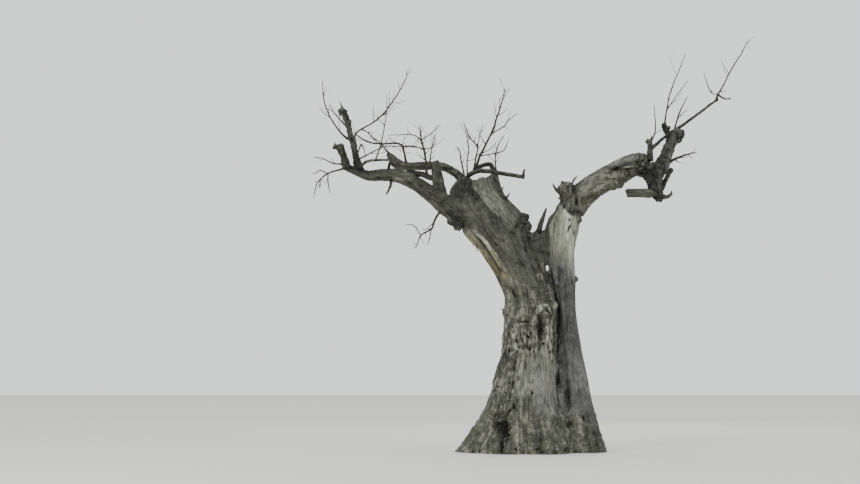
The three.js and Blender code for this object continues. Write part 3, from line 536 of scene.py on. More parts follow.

# Single hollows, lumps and stains, in the order that they are laid: x, z, half the width, half the height,
# the lean in degrees, how far it is sunk and how much painted shade darkens it, then what else it has. They
# are on the front; where one is round, it also shows from the sides and the back.
spots = [
    (-1.1, 4.3, 0.2, 0.25, 0, 0, 0, {"round": True, "gnarl": 0.022, "tone": -0.25}),
    (-0.18, 3.6, 0.12, 0.26, 0, 0, 0, {"round": True, "gnarl": 0.03, "tone": -0.15}),
    (-1.33, 3.54, 0.15, 0.1, 0, 0.018, 0, {"round": True, "gnarl": 0.018, "tone": -0.15}),
    (0.12, 3.5, 0.08, 0.16, 0, -0.03, 0, {"round": True, "tone": -0.15}),
    (0.66, 2.77, 0.07, 0.07, 0, 0, 0, {"round": True, "tone": -0.2}),
    (-2.3, 4.74, 0.1, 0.08, 0, -0.03, 0, {"round": True, "gnarl": 0.024}),
    (-3.15, 5.42, 0.09, 0.12, 0, -0.008, 0, {"round": True, "gnarl": 0.02}),
    (1.68, 4.32, 0.09, 0.1, 0, -0.035, 0, {"round": True, "gnarl": 0.02, "tone": -0.1}),
    (2.24, 5.02, 0.13, 0.13, 0, -0.01, 0, {"round": True, "gnarl": 0.02, "tone": -0.05}),
    (0.25, 3.86, 0.05, 0.1, 0, 0.018, 0, {"round": True}), (0.405, 0.88, 0.055, 0.22, 0, 0.06, 0.75),
    (1.62, 4.55, 0.18, 0.2, 0, 0, 0, {"round": True, "gnarl": 0.035, "tone": -0.15}),
    (1.2, 4.22, 0.16, 0.08, 0, 0, 0, {"round": True, "gnarl": 0.02}),
    (-0.64, 0.41, 0.11, 0.18, 0, 0.16, 1), (-0.66, 0.14, 0.04, 0.14, 0, 0.08, 1),
    (-0.53, 0.64, 0.024, 0.13, -45, 0.04, 0.8), (-0.44, 0.72, 0.025, 0.035, 0, 0.03, 0.9),
    (0, 1.94, 0.06, 0.23, 0, 0.04, 1), (0.01, 2.75, 0.09, 0.09, 0, 0.02, 0.5),
    (0.01, 2.76, 0.055, 0.055, 0, -0.03, 0, {"tone": 0.5}), (0.01, 2.75, 0.026, 0.026, 0, 0.03, 0.9),
    (-0.01, 2.25, 0.04, 0.055, 0, -0.02, 0, {"pale": 1}),
    (0.08, 2.3, 0.045, 0.018, 0, -0.012, 0, {"pale": 1}),
    (0.15, 2.25, 0.015, 0.03, 0, -0.01, 0, {"pale": 0.8}),
    (0.25, 2.31, 0.035, 0.065, 0, -0.035, 0, {"pale": 0.45}), (0.12, 2.2, 0.015, 0.07, 50, 0.03, 0.9),
    # A groove of painted shadow under the trunk's callus ring.
    (-0.27, 2.03, 0.1, 0.016, 0, 0.03, 0.8), (-0.12, 2.45, 0.022, 0.05, 0, -0.012, 0, {"tone": 0.3}),
    (-0.24, 2.64, 0.03, 0.05, 0, -0.005, 0, {"tone": 0.2}),
    (-0.42, 1.81, 0.022, 0.05, 0, -0.008, 0, {"pale": 0.9}),
    (-0.39, 1.65, 0.028, 0.06, 0, -0.01, 0, {"pale": 0.5}),
    (0.16, 1.66, 0.02, 0.06, 0, -0.01, 0, {"pale": 0.8}),
    (0.18, 1.5, 0.016, 0.07, 0, -0.008, 0, {"pale": 0.9}),
    (0.1, 1.78, 0.015, 0.06, 0, -0.008, 0, {"pale": 0.7}), (-0.16, 1.86, 0.02, 0.028, 0, 0.03, 0.9),
    (-0.35, 1.64, 0.02, 0.03, 0, 0.03, 0.9), (-0.18, 1.61, 0.022, 0.03, 0, 0.03, 0.9),
    (0.15, 1.56, 0.02, 0.025, 0, 0.03, 0.9), (-0.36, 1.15, 0.035, 0.055, -20, 0.02, 0.6),
    (-0.42, 2.49, 0.018, 0.1, 20, 0.02, 0.8), (-0.54, 2.76, 0.03, 0.06, 30, 0, 0, {"warm": 0.7}),
    (-0.1, 0.08, 0.06, 0.02, 15, 0.03, 0.8), (0.36, 0.06, 0.05, 0.02, 20, 0.03, 0.8),
    (0.43, 0.44, 0.05, 0.06, 0, 0.03, 0.5), (0.66, 0.54, 0.02, 0.04, 0, 0.03, 0.7),
    (-0.42, 3.43, 0.06, 0.025, -20, 0.02, 0.6), (-0.37, 3.54, 0.035, 0.03, 0, 0.015, 0.6),
    (-0.21, 3.18, 0.035, 0.07, 20, 0.02, 0.6), (-1.13, 3.79, 0.03, 0.03, 0, 0.02, 0.7),
    (-1.02, 3.76, 0.035, 0.035, 0, 0.02, 0.7), (-1.08, 3.79, 0.12, 0.075, 0, -0.008, 0, {"tone": 0.15}),
    (0.5, 3.66, 0.022, 0.024, 0, 0.03, 1), (0.5, 3.53, 0.016, 0.085, -27, 0.03, 0.95),
    (0.58, 3.46, 0.014, 0.05, -8, 0.02, 0.9), (0.3, 3.66, 0.012, 0.05, 0, 0.008, 0.6),
    (0.6, 3.8, 0.1, 0.055, 0, 0.015, 0.55), (0.46, 4.14, 0.03, 0.05, 0, -0.01, 0, {"tone": 0.2}),
    (0.42, 4, 0.02, 0.03, 0, -0.01, 0, {"tone": 0.2}), (0.63, 4.17, 0.07, 0.13, 0, 0, 0, {"tone": -0.2}),
    (1.22, 4.45, 0.075, 0.035, 15, 0.05, 0.95), (1.12, 4.4, 0.03, 0.03, 0, 0.02, 0.6),
    # A painted highlight along the arch, with a sunk spot of painted shade under it.
    (1.4, 4.46, 0.08, 0.011, 0, -0.014, 0, {"pale": 0.6}), (1.42, 4.42, 0.11, 0.035, 0, 0.02, 0.55),
    (1.55, 4.53, 0.05, 0.04, 0, 0.015, 0.5), (1.67, 4.44, 0.05, 0.014, 0, -0.01, 0, {"tone": 0.25}),
    (1.62, 4.38, 0.13, 0.04, 0, 0.015, 0.6), (1.18, 4.24, 0.09, 0.03, 0, -0.01, 0, {"tone": 0.15}),
    # A soft painted highlight along the arch's lower side.
    (0.97, 4.17, 0.1, 0.025, 32, -0.006, 0, {"pale": 0.25}),
]


def markNoise(points, name):
    size, seed = markNoises[name]
    return smoothNoise(points / size, seed)


# Lays a mark over what is there: relief and tone are added, the rest is raised to no less than the mark.
def lay(found, share, **amounts):
    for key, amount in amounts.items():
        if key in ("relief", "tone"):
            found[key] += amount * share
        else:
            found[key] = np.maximum(found[key], amount * share)


# Takes away a share of what is there.
def fade(found, share, **amounts):
    for key, amount in amounts.items():
        found[key] *= 1 - amount * share


def wearSpots(found, points, x, z, front):
    for middleX, middleZ, width, height, lean, sink, dark, *rest in spots:
        more = dict(*rest)  # the last column, or nothing
        reach = 1.6 * max(width, height)
        facing = np.ones(len(x)) if "round" in more else front
        near = np.nonzero((np.abs(x - middleX) < reach) & (np.abs(z - middleZ) < reach) & (facing > 0))[0]
        right, up, turn = x[near] - middleX, z[near] - middleZ, math.radians(lean)
        ragged = 0.35 * markNoise(points[near], "spotEdge")
        across = (right * math.cos(turn) + up * math.sin(turn)) / width + ragged
        along = (up * math.cos(turn) - right * math.sin(turn)) / height - ragged
        share = np.exp(-(across ** 2 + along ** 2) ** 1.5) * facing[near]
        spot = {key: values[near] for key, values in found.items()}
        lay(spot, share, relief=-sink)
        if "gnarl" in more:
            knobs = knobNoise(points[near], barkForm["gnarl"]["width"], 92)
            lay(spot, share * knobs, relief=more["gnarl"], tone=barkForm["gnarl"]["tone"] * more["gnarl"])
            # The dips between the knobs get painted shade.
            lay(spot, share * smoothStep(-knobs, 0.45, 0.9), hollow=1)
        lay(spot, share, tone=more.get("tone", 0))
        # A sunk spot is darkened with painted shade, as far as its dark column says.
        if "round" not in more:
            fade(spot, share, hollow=1)
            lay(spot, share, hollow=dark)
        if "pale" in more:
            lay(spot, smoothStep(share, 0.1, 0.5), bare=1)
            fade(spot, share, pale=1)
            lay(spot, share, pale=0.75 * more["pale"])
        if "warm" in more:
            lay(spot, share, bare=1, warm=more["warm"])
        for key, values in spot.items():
            found[key][near] = values


def follow(values, path, key):
    rows = sorted((row[key], row[1 - key]) for row in path)
    return np.interp(values, [row[0] for row in rows], [row[1] for row in rows])


# The torn bark on the broken left limb, its bare face, and the strip peeled off its underside, with painted
# shade in the face's grooves and the strip's split and streaks, and a painted shadow under the face's edge.
def wearLeftLimb(found, points, x, z, front, isMain):
    ragged = 0.025 * markNoise(points, "torn")
    streaks = np.stack([0.77 * x + 0.63 * z, points[:, 1], 0.2 * (0.77 * z - 0.63 * x)], axis=1)
    streak = smoothNoise(streaks / 0.04, 78)
    above = z - follow(x, marks["faceEdge"], 0) + ragged
    rim = follow(z, marks["faceRim"], 1) - x + ragged
    face = smoothStep(above, -0.01, 0.012) * within(x, *bands["face"]) * smoothStep(z, 3.38, 3.46)
    face *= smoothStep(rim, 0.02, 0.07) * isMain
    faded = 0.3 + 0.7 * smoothStep(z + 0.4 * x, 3.35, 3.6)
    groove = ridge(streak, 0.12)
    fade(found, face, bare=1)
    lay(found, face, tone=-0.12)
    lay(found, face * faded, bare=0.75)
    lay(found, face * faded * smoothStep(above, -0.012, 0.012), relief=-0.016)
    lay(found, face * groove, relief=-0.008)
    tongue = ridge(above - 0.05, 0.05) * smoothStep(z, 3.5, 3.7)
    found["pale"] = np.where(face > 0.1, np.clip(0.22 * tongue + 0.15 * streak, 0, 1), found["pale"])
    found["hollow"] = np.where(face > 0.5, np.clip(0.4 * groove, 0, 1), found["hollow"])
    shadow = ridge(above + 0.03, 0.025) * within(x, *bands["faceShadow"]) * front
    lay(found, shadow * isMain, hollow=0.5)
    edge = ridge(rim - 0.03, 0.05) * smoothStep(above, 0, 0.05) * isMain
    fade(found, edge, bare=0.8)
    lay(found, edge, tone=-0.1)

    inward = follow(z, marks["strip"], 1) - x + 0.8 * ragged
    sided = isMain * smoothStep(follow(z, marks["stripBack"], 1) - points[:, 1] + 3 * ragged, -0.02, 0.03)
    peeled = smoothStep(inward, -0.012, 0.014) * within(z - 3 * ragged, *bands["strip"]) * sided
    split = ridge(inward - 0.1 - 0.6 * ragged, 0.022) * within(z, *bands["split"]) * sided
    light = ridge(inward - 0.035, 0.028) * peeled * np.clip(0.75 + 0.8 * streak, 0, 1)
    light *= smoothStep(z + ragged, 3.02, 3.2)
    outer = smoothStep(inward, 0.07, 0.16) * peeled
    under = smoothStep(inward, 0, 0.16) * within(z, *bands["underside"]) * isMain
    lower = 1 - smoothStep(z + ragged, 2.95, 3.3)
    mottled = smoothNoise(points * (1, 1, 0.6) / 0.05, 93)
    patchy = smoothStep(streak + 2.2 * (z - 2.75) + 8 * ragged, -0.4, 0.5)
    patchy *= 1 - 0.7 * (1 - light) * smoothStep(mottled + 0.6 * streak, 0.1, 0.6)
    fade(found, peeled, hollow=0.5)
    lay(found, light, relief=0.012)
    lay(found, outer, relief=-0.004)
    lay(found, split, relief=-0.04, hollow=0.85)
    lay(found, under, relief=0.028)
    lay(found, peeled * (0.6 + 0.4 * light) * patchy, bare=1)
    found["pale"] = np.where(peeled > 0.1, np.clip(0.25 + 0.6 * light - 0.3 * lower, 0, 1), found["pale"])
    lay(found, peeled * np.clip(0.1 + 0.55 * outer + 0.6 * lower, 0, 1), warm=1)
    lay(found, peeled * lower * smoothStep(-streak, 0.25, 0.6), hollow=0.5)
    plain = isMain * smoothStep(z, 2.7, 3.1) * (1 - face) * (1 - peeled)
    found["tone"] += 0.55 * plain * (0.24 - found["tone"]) - 0.06 * plain
    fade(found, plain, relief=0.3, hollow=0.35, bare=0.7)


# The cleft between the stems with painted shade in it, the side stem in a darker cool grey that is partly
# its own bark and partly painted shade, and its bleached top, with painted shade on its left flank and a
# painted highlight down its middle.
def wearSideStem(found, points, x, z, front, isMain, isSide):
    ragged, stripe, broad = (markNoise(points, name) for name in ("cleftEdge", "stripe", "broadStripe"))
    gap = x - follow(z, marks["cleft"], 1) - 0.012 * ragged
    seam = within(z, *bands["cleft"]) * np.maximum(isMain, isSide)
    # Painted shade in the cleft, and on the dark panel beside it at the side stem's foot.
    cleft = ridge(gap, 0.024) * seam * (0.4 + 0.6 * front)
    foot = within(gap, *bands["cleftSide"]) * within(z, *bands["cleftFoot"]) * isSide * front
    lay(found, cleft, relief=-0.035, hollow=0.8)
    lay(found, foot, relief=-0.015, hollow=0.45)
    # The side stem in a darker cool grey: its own grey bark, and partly painted shade, as it stands in
    # shade.
    grey = isSide * within(z, *bands["grey"])
    lay(found, grey, cool=0.85)
    lay(found, grey * (1 - smoothStep(z, 1.1, 1.9)), tone=0.14)
    fade(found, grey * (1 - cleft), hollow=0.5)
    # Left of this edge the stem keeps its darker bark, which also paints the shade on its left flank.
    edge = follow(z, marks["bleachedLeft"], 1) + 0.01 * ragged
    top = follow(x, marks["bleachedTop"], 0) + 0.03 * ragged
    pale = smoothStep(z + 0.2 * stripe + 0.12 * broad, 2.72, 3.22)
    pale *= smoothStep(x, edge - 0.014, edge + 0.014)
    pale *= (1 - smoothStep(z, top - 0.03, top + 0.03)) * isSide
    found["bare"] = np.where(isSide * (z > 2.6) > 0.5, pale, found["bare"])
    # Less bleach close to the left edge is painted shade on that flank; the ridge at x 0.47 is a painted
    # highlight down the middle; the right side is less bleached.
    bleach = 0.35 + 0.35 * smoothStep(z, 2.9, 3.4) + 0.4 * broad + 0.35 * stripe
    bleach -= 0.7 * (1 - smoothStep(x, edge + 0.04, edge + 0.16))
    bleach += 0.2 * ridge(x - 0.47, 0.05) - 0.4 * smoothStep(x, 0.5, 0.58)
    found["pale"] = np.where(pale > 0.05, np.clip(bleach, 0, 1), found["pale"])
    lay(found, pale * smoothStep(-broad, -0.2, 0.3), green=0.6)
    lay(found, pale * stripe, relief=0.004)
    lay(found, pale * ridge(stripe, 0.1), relief=-0.01)
    fade(found, pale, hollow=0.75)
    lay(found, pale * ridge(stripe, 0.07), hollow=0.45)


# The trunk's callus ring, the wrinkles over it, the pitted waist, the rough flank and the root crown, with
# painted shade in the wrinkles' troughs, the pits and the dips between knobs and lumps.
def wearTrunk(found, points, normals, x, z, isMain):
    cells, patches, broad = (markNoise(points, name) for name in ("cells", "patches", "broadPatches"))
    height = (z - 2.22 - 0.04 * markNoise(points, "rollHeight")) / 0.11
    roll = np.exp(-height ** 4) * (0.5 + markNoise(points, "rollWidth")) * isMain
    lay(found, roll, relief=0.012, tone=0.2)
    lay(found, within(z, *bands["notch"]) * smoothStep(-x, 0.4, 0.55) * isMain, relief=-0.022)
    wrinkled = within(z, *bands["wrinkles"]) * within(x, *bands["wrinklesAcross"]) * isMain
    wrinkle = np.sin(z / 0.0088 + 4 * markNoise(points, "wrinkleSway"))
    lay(found, wrinkle * wrinkled, relief=0.006)
    lay(found, wrinkled * smoothStep(-wrinkle, 0.4, 1), hollow=0.3)
    waist = within(z, *bands["waist"]) * isMain
    lay(found, patches * waist, relief=0.008)
    lay(found, smoothStep(-cells, 0.42, 0.62) * waist, relief=-0.022, hollow=0.9)
    lay(found, waist * (0.1 + 0.35 * patches), tone=1)
    lay(found, smoothStep(patches + 0.4 * cells, 0.3, 0.8) * waist, bare=0.8, pale=0.4)
    flank = smoothStep(-normals[:, 0], 0.2, 0.7) * within(z, *bands["flank"]) * isMain
    knobs = knobNoise(points, 0.07, 84)
    lay(found, knobs * flank, relief=0.012)
    lay(found, flank * smoothStep(-knobs, 0.5, 0.9), hollow=0.6)
    lay(found, flank * (0.35 * knobs - 0.05), tone=1)
    lumps = knobNoise(points, 0.13, 76)
    low = 1 - smoothStep(z + 0.1 * markNoise(points, "crownEdge"), 0.45, 0.85)
    fade(found, low, hollow=0.3, cool=1, bare=1)
    lay(found, lumps * low, relief=0.016)
    lay(found, low * smoothStep(-lumps, 0.7, 1), hollow=0.55)
    lay(found, low * (0.15 * lumps + 0.22 * markNoise(points, "crownGrit") + 0.06), tone=1)
    smooth = within(z + 0.25 * broad + 0.1 * patches, *bands["smooth"]) * isMain * (1 - flank)
    lay(found, smooth * np.clip(0.4 + 0.5 * broad + 0.35 * patches, 0, 0.8), bare=1)
    fade(found, smooth, hollow=0.4)
    lay(found, smooth * (0.16 + 0.2 * patches), tone=1)
    panel = within(x, *bands["panelAcross"]) * within(z, *bands["panel"])
    panel *= smoothStep(-normals[:, 1], 0.2, 0.6) * isMain
    lay(found, panel, cool=0.6, tone=0.2)
    fade(found, panel, bare=0.5)


# The burl's crack, darkened with painted shade, and the darker underside of the arch.
def wearBurl(found, points, x, z, front, isBurl, isArch):
    crack = ridge(x - follow(z, marks["burlCrack"], 1), 0.02) * within(z, *bands["burlCrack"]) * front
    crack *= np.maximum(isBurl, isArch)
    lay(found, crack, relief=-0.045, hollow=0.9)
    lay(found, (0.22 * markNoise(points, "archMottle") + 0.06) * isArch, tone=1)
    lay(found, isArch * smoothStep(z - 0.42 * x, 3.86, 3.95), cool=0.3)


def placedWear(points, normals, found, owned):
    x, z = points[:, 0], points[:, 2]
    front = smoothStep(-normals[:, 1], -0.15, 0.25)
    isMain, isSide = owned("mainStem"), owned("sideStem")
    wearLeftLimb(found, points, x, z, front, isMain)
    wearTrunk(found, points, normals, x, z, isMain)
    wearSideStem(found, points, x, z, front, isMain, isSide)
    wearBurl(found, points, x, z, front, owned("burl"), owned("arch"))
    wearSpots(found, points, x, z, front)


# One CAD solid with its corners joined.
def solidOf(name):
    part = bmesh.new()
    part.from_mesh(cadNodes[name].data)
    bmesh.ops.remove_doubles(part, verts=part.verts, dist=1e-5)
    return part


# A copy of some CAD solids as one mesh, each sunk into the wood that carries it.
def woodCopy(names, sink=0.03, reach=0.003):
    joined = bmesh.new()
    for name in names:
        part = solidOf(name)
        earlier = [n for n in cadOrder[:cadOrder.index(name)] if not n.startswith("twigs_")]
        for carrier in earlier:
            low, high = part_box(carrier)
            tree = limbTrees[carrier]
            for vertex in part.verts:
                if any(vertex.co[k] < low[k] - reach or vertex.co[k] > high[k] + reach for k in range(3)):
                    continue
                normal = tree.find_nearest(vertex.co, reach)[1]
                if normal is not None:
                    vertex.co -= normal * sink
        mesh = bpy.data.meshes.new(name)
        part.to_mesh(mesh)
        part.free()
        joined.from_mesh(mesh)
        bpy.data.meshes.remove(mesh)
    return joined


def limbTree(name):
    part = solidOf(name)
    tree = BVHTree.FromBMesh(part)
    part.free()
    return tree


def newPiece(name, source):
    mesh = bpy.data.meshes.new(name)
    source.to_mesh(mesh)
    source.free()
    return newObject(name, mesh)


# The mesh that a piece's modifiers or curves make.
def settled(piece):
    evaluated = piece.evaluated_get(bpy.context.evaluated_depsgraph_get())
    return bpy.data.meshes.new_from_object(evaluated)


# The joined wood as one skin of even faces, eased over its joints and facets.
def skinned(name, names, voxel, easing):
    piece = newPiece(name, woodCopy(names))
    remesh = piece.modifiers.new("skin", "REMESH")
    remesh.mode = "VOXEL"
    remesh.voxel_size = voxel
    smooth = piece.modifiers.new("ease", "SMOOTH")
    smooth.factor = wood["easeFactor"]
    smooth.iterations = easing
    mesh = settled(piece)
    piece.modifiers.clear()
    old = piece.data
    piece.data = mesh
    bpy.data.meshes.remove(old)
    return piece


# How near points lie to the stout limbs, 1 where they touch: the share of painted shade at the slender
# boughs' feet.
def footShadeShare(points):
    reach = wood["footReach"]
    share = np.zeros(len(points))
    for name in wood["stout"]:
        low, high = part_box(name)
        near = np.all((points > np.array(low) - reach) & (points < np.array(high) + reach), axis=1)
        for k in np.nonzero(near)[0]:
            gap = limbTrees[name].find_nearest(Vector(points[k]), reach)[3]
            if gap is not None:
                share[k] = max(share[k], 1 - gap / reach)
    return smoothStep(share, 0, 1)


def carveBark(piece, lines, voxel, easing):
    mesh = piece.data
    count = len(mesh.vertices)
    points = valuesOf(mesh.vertices, "co", kind=float)
    normals = valuesOf(mesh.vertex_normals, "vector").astype(float)
    shares = np.full((len(lines), count), float(wood["far"]))
    places = []
    for k, (name, rows) in enumerate(lines.items()):
        knots = np.array(rows)
        room = knots[:, 3].max() * wood["room"][0] + wood["room"][1]
        near = np.all((points > knots[:, :3].min(0) - room) & (points < knots[:, :3].max(0) + room), axis=1)
        if name in stemLines or "mainStem" not in lines:
            near[:] = True
        near = np.nonzero(near)[0]
        place = grainPlaces(points[near], rows)
        shares[k, near] = place["share"]
        places.append((near, place))
    best = shares.min(axis=0)
    found = {key: np.zeros(count) for key in
             ("relief", "hollow", "bare", "tone", "pale", "warm", "cool", "green")}
    grain = np.zeros((count, 3))
    weights = np.zeros(count)
    radius = np.full(count, 0.1)
    push = np.zeros((count, 3))
    for k, (name, (near, place)) in enumerate(zip(lines, places)):
        weight = np.exp(-wood["blend"] * (shares[k, near] - best[near]))
        used = weight > wood["leastShare"]
        if not used.any():
            continue
        near, weight = near[used], weight[used]
        place = {key: value[used] if isinstance(value, np.ndarray) else value
                 for key, value in place.items()}
        wear = wearDefaults | wornAs.get(name, plainWear)
        made = limbRelief(points[near], place, wear, 11 * k + 3)
        for key in found:
            found[key][near] += weight * made[key]
        weights[near] += weight
        main = shares[k, near] <= best[near] + 1e-9
        turn, girth = place["turn"], place["girth"]
        grain[near[main]] = np.stack([np.cos(turn) * girth, np.sin(turn) * girth,
                                      place["along"]], axis=1)[main] + k
        radius[near[main]] = place["radius"][main]
        ends = place["total"] - wood["tornFrom"], place["total"] + wood["tornTo"]
        tip = smoothStep(place["along"], *ends) * weight
        splinters = grainNoise(place, wood["splinter"], 500 + k)
        splinters += 0.6 * grainNoise(place, wood["fineSplinter"], 600 + k)
        sunk = np.clip(1 - place["inner"] ** 2, 0, 1)
        torn = tip * (wear["jag"] * splinters - wood["tornSink"] * wear["jag"] * sunk)
        push[near] += torn[:, None] * place["tangent"]
    for key in found:
        found[key] /= weights
    push /= weights[:, None]
    keys = list(lines)

    def owned(name):
        return 1 - smoothStep(shares[keys.index(name)] - best, *wood["owned"])

    if "mainStem" in lines:
        placedWear(points, normals, found, owned)
    else:
        # Painted shade at the slender boughs' feet, where they meet the stout limbs: darker, and no bare
        # wood.
        foot = footShadeShare(points)
        lay(found, foot, tone=-wood["footShadeTone"], hollow=wood["footShadeDarkness"])
        fade(found, foot, bare=1)
    # Easing draws round wood in; this gives it back its girth.
    regain = (0.5 * math.sqrt(easing) * voxel) ** 2 / (2 * np.maximum(radius, 0.02))
    moved = points + normals * (found["relief"] + np.minimum(regain, 0.4 * radius))[:, None] + push
    moved[:, 2] = np.maximum(moved[:, 2], 0)
    moved[points[:, 2] < 0.6 * voxel, 2] = 0
    mesh.vertices.foreach_set("co", moved.ravel())
    for key in found:
        if key != "relief":
            writeLayer(mesh, key, np.clip(found[key], 0, 1))
    writeLayer(mesh, "grain", grain)
    mesh.update()
    writeLayer(mesh, "facing", valuesOf(mesh.vertex_normals, "vector"))


# Cuts a piece square to an axis and closes both cuts; the lower half comes first.
def cutInTwo(piece, names, axis, place):
    point, normal, halves = [0, 0, 0], [0, 0, 0], []
    point[axis], normal[axis] = place, 1
    for name, side in zip(names, (1, -1)):
        half = bmesh.new()
        half.from_mesh(piece.data)
        everything = half.verts[:] + half.edges[:] + half.faces[:]
        bmesh.ops.bisect_plane(half, geom=everything, plane_co=point, plane_no=Vector(normal) * side,
                               clear_outer=True)
        rims = [edge for edge in half.edges if edge.is_boundary]
        caps = bmesh.ops.holes_fill(half, edges=rims)["faces"]
        for face in half.faces:
            face.smooth = True
        for face in caps:
            face.smooth = False
        halves.append(newPiece(name, half))
    dropPiece(piece)
    return halves


def dropPiece(piece):
    old = piece.data
    bpy.data.objects.remove(piece)
    bpy.data.batch_remove([old])


# Drops the crumbs that the skin and the cuts leave: islands of few vertices.
def dropCrumbs(mesh):
    first, second = valuesOf(mesh.edges, "vertices", 2, np.int32).T
    island = np.arange(len(mesh.vertices))
    settling = True
    while settling:
        lower = np.minimum(island[first], island[second])
        joined = island.copy()
        np.minimum.at(joined, first, lower)
        np.minimum.at(joined, second, lower)
        joined = joined[joined]
        settling = (joined != island).any()
        island = joined
    crumbs = np.nonzero(np.bincount(island)[island] < wood["crumb"])[0]
    if len(crumbs) == 0:
        return
    part = bmesh.new()
    part.from_mesh(mesh)
    part.verts.ensure_lookup_table()
    bmesh.ops.delete(part, geom=[part.verts[k] for k in crumbs], context="VERTS")
    part.to_mesh(mesh)
    part.free()


def finishPiece(piece, material, stands, slot):
    if slot != "twigs":
        dropCrumbs(piece.data)
    piece.data.materials.clear()
    piece.data.materials.append(material)
    facing = piece.data.attributes.get("facing")
    if facing:
        normals = valuesOf(facing.data, "vector")
        piece.data.attributes.remove(facing)
        piece.data.normals_split_custom_set_from_vertices(normals)
    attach(piece, "root")
    if stands:
        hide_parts(*stands)
    piece.data.calc_loop_triangles()
    print("piece", piece.name, len(piece.data.loop_triangles), "triangles")


# The stout wood is one skin, cut where it hides well; the slender boughs have a finer skin.
wood = {
    "stout": ["trunk", "right_stem", "left_limb", "broken_stem", "burl", "arch", "hook", "high_bough",
              "left_bough", "left_stub", "slant_stump", "upper_bough"],
    "slender": {
        "bark_left_branches": ["splinter", "upright_bough", "link_bough", "right_spray_bough", "spray_hook",
                               "spray_loop", "thin_bough", "prop_bough", "under_peg"],
        "bark_right_branches": ["hook_arm", "hook_nub", "hook_spur", "high_nub", "short_stub", "long_strut"],
    },
    "stoutVoxel": 0.009, "slenderVoxel": 0.0055,
    "stoutEasing": 12, "slenderEasing": 6, "easeFactor": 0.5, "crumb": 40,
    # How far the painted shade at a slender bough's foot reaches from the stout limbs, and how far it lowers
    # the tone and darkens.
    "footReach": 0.08, "footShadeTone": 0.15, "footShadeDarkness": 0.35,
    # How far round a limb its bark is looked for, how sharply it gives way to the next limb's, and how far
    # back from a torn end its splinters start and its heart is sunk.
    "room": (2.2, 0.05), "far": 9, "blend": 8, "leastShare": 0.03, "owned": (0.02, 0.15),
    "tornFrom": 0.12, "tornTo": 0.02, "tornSink": 1.2,
    "splinter": {"width": 0.05, "length": 9}, "fineSplinter": {"width": 0.02, "length": 9},
    # The cuts: the whole, its halves from the lower side, the axis that the cut is square to, and where.
    "cuts": [
        ("stoutWood", ("trunk_whole", "crown_whole"), 2, 2.655),
        ("trunk_whole", ("bark_root_crown", "trunk_rest"), 2, 0.58),
        ("trunk_rest", ("bark_trunk", "bark_waist"), 2, 1.42),
        ("crown_whole", ("left_whole", "right_whole"), 0, 0.145),
        ("left_whole", ("bark_left_boughs", "bark_left_limb"), 0, -1.22),
        ("right_whole", ("bleached_right_stem", "arch_whole"), 2, 3.8),
        ("arch_whole", ("bark_burl_and_arch", "bark_right_boughs"), 0, 1.56),
    ],
    # What is left of the whole: each piece, its slot and the solids that it stands for.
    "dressed": [
        ("bark_root_crown", "bark", ["trunk"]),
        ("bark_trunk", "bark", ["trunk"]),
        ("bark_waist", "bark", ["trunk"]),
        ("bark_left_limb", "bark", ["left_limb", "broken_stem"]),
        ("bleached_right_stem", "bare_wood", ["right_stem"]),
        ("bark_burl_and_arch", "bark", ["burl", "arch"]),
        ("bark_left_boughs", "bark", ["left_bough", "left_stub", "slant_stump", "upper_bough"]),
        ("bark_right_boughs", "bark", ["hook", "high_bough"]),
    ],
}


def makeWood():
    lines = dict(stemLines)
    for name in wood["stout"][3:]:
        lines[name] = limbLine(name)
    stout = skinned("stoutWood", wood["stout"], wood["stoutVoxel"], wood["stoutEasing"])
    print("stage: skinned the stout wood,", len(stout.data.vertices), "vertices")
    carveBark(stout, lines, wood["stoutVoxel"], wood["stoutEasing"])
    print("stage: carved the stout wood")
    pieces = {"stoutWood": stout}
    for whole, halves, axis, place in wood["cuts"]:
        pieces |= zip(halves, cutInTwo(pieces.pop(whole), halves, axis, place))
    for name, slot, nodes in wood["dressed"]:
        finishPiece(pieces[name], woodMaterial, nodes, slot)
    print("stage: cut the stout wood in pieces")
    for name, nodes in wood["slender"].items():
        piece = skinned(name, nodes, wood["slenderVoxel"], wood["slenderEasing"])
        lines = {node: limbLine(node) for node in nodes}
        carveBark(piece, lines, wood["slenderVoxel"], wood["slenderEasing"])
        piece.data.polygons.foreach_set("use_smooth", [True] * len(piece.data.polygons))
        finishPiece(piece, woodMaterial, nodes, "bark")
    print("stage: made the slender boughs")


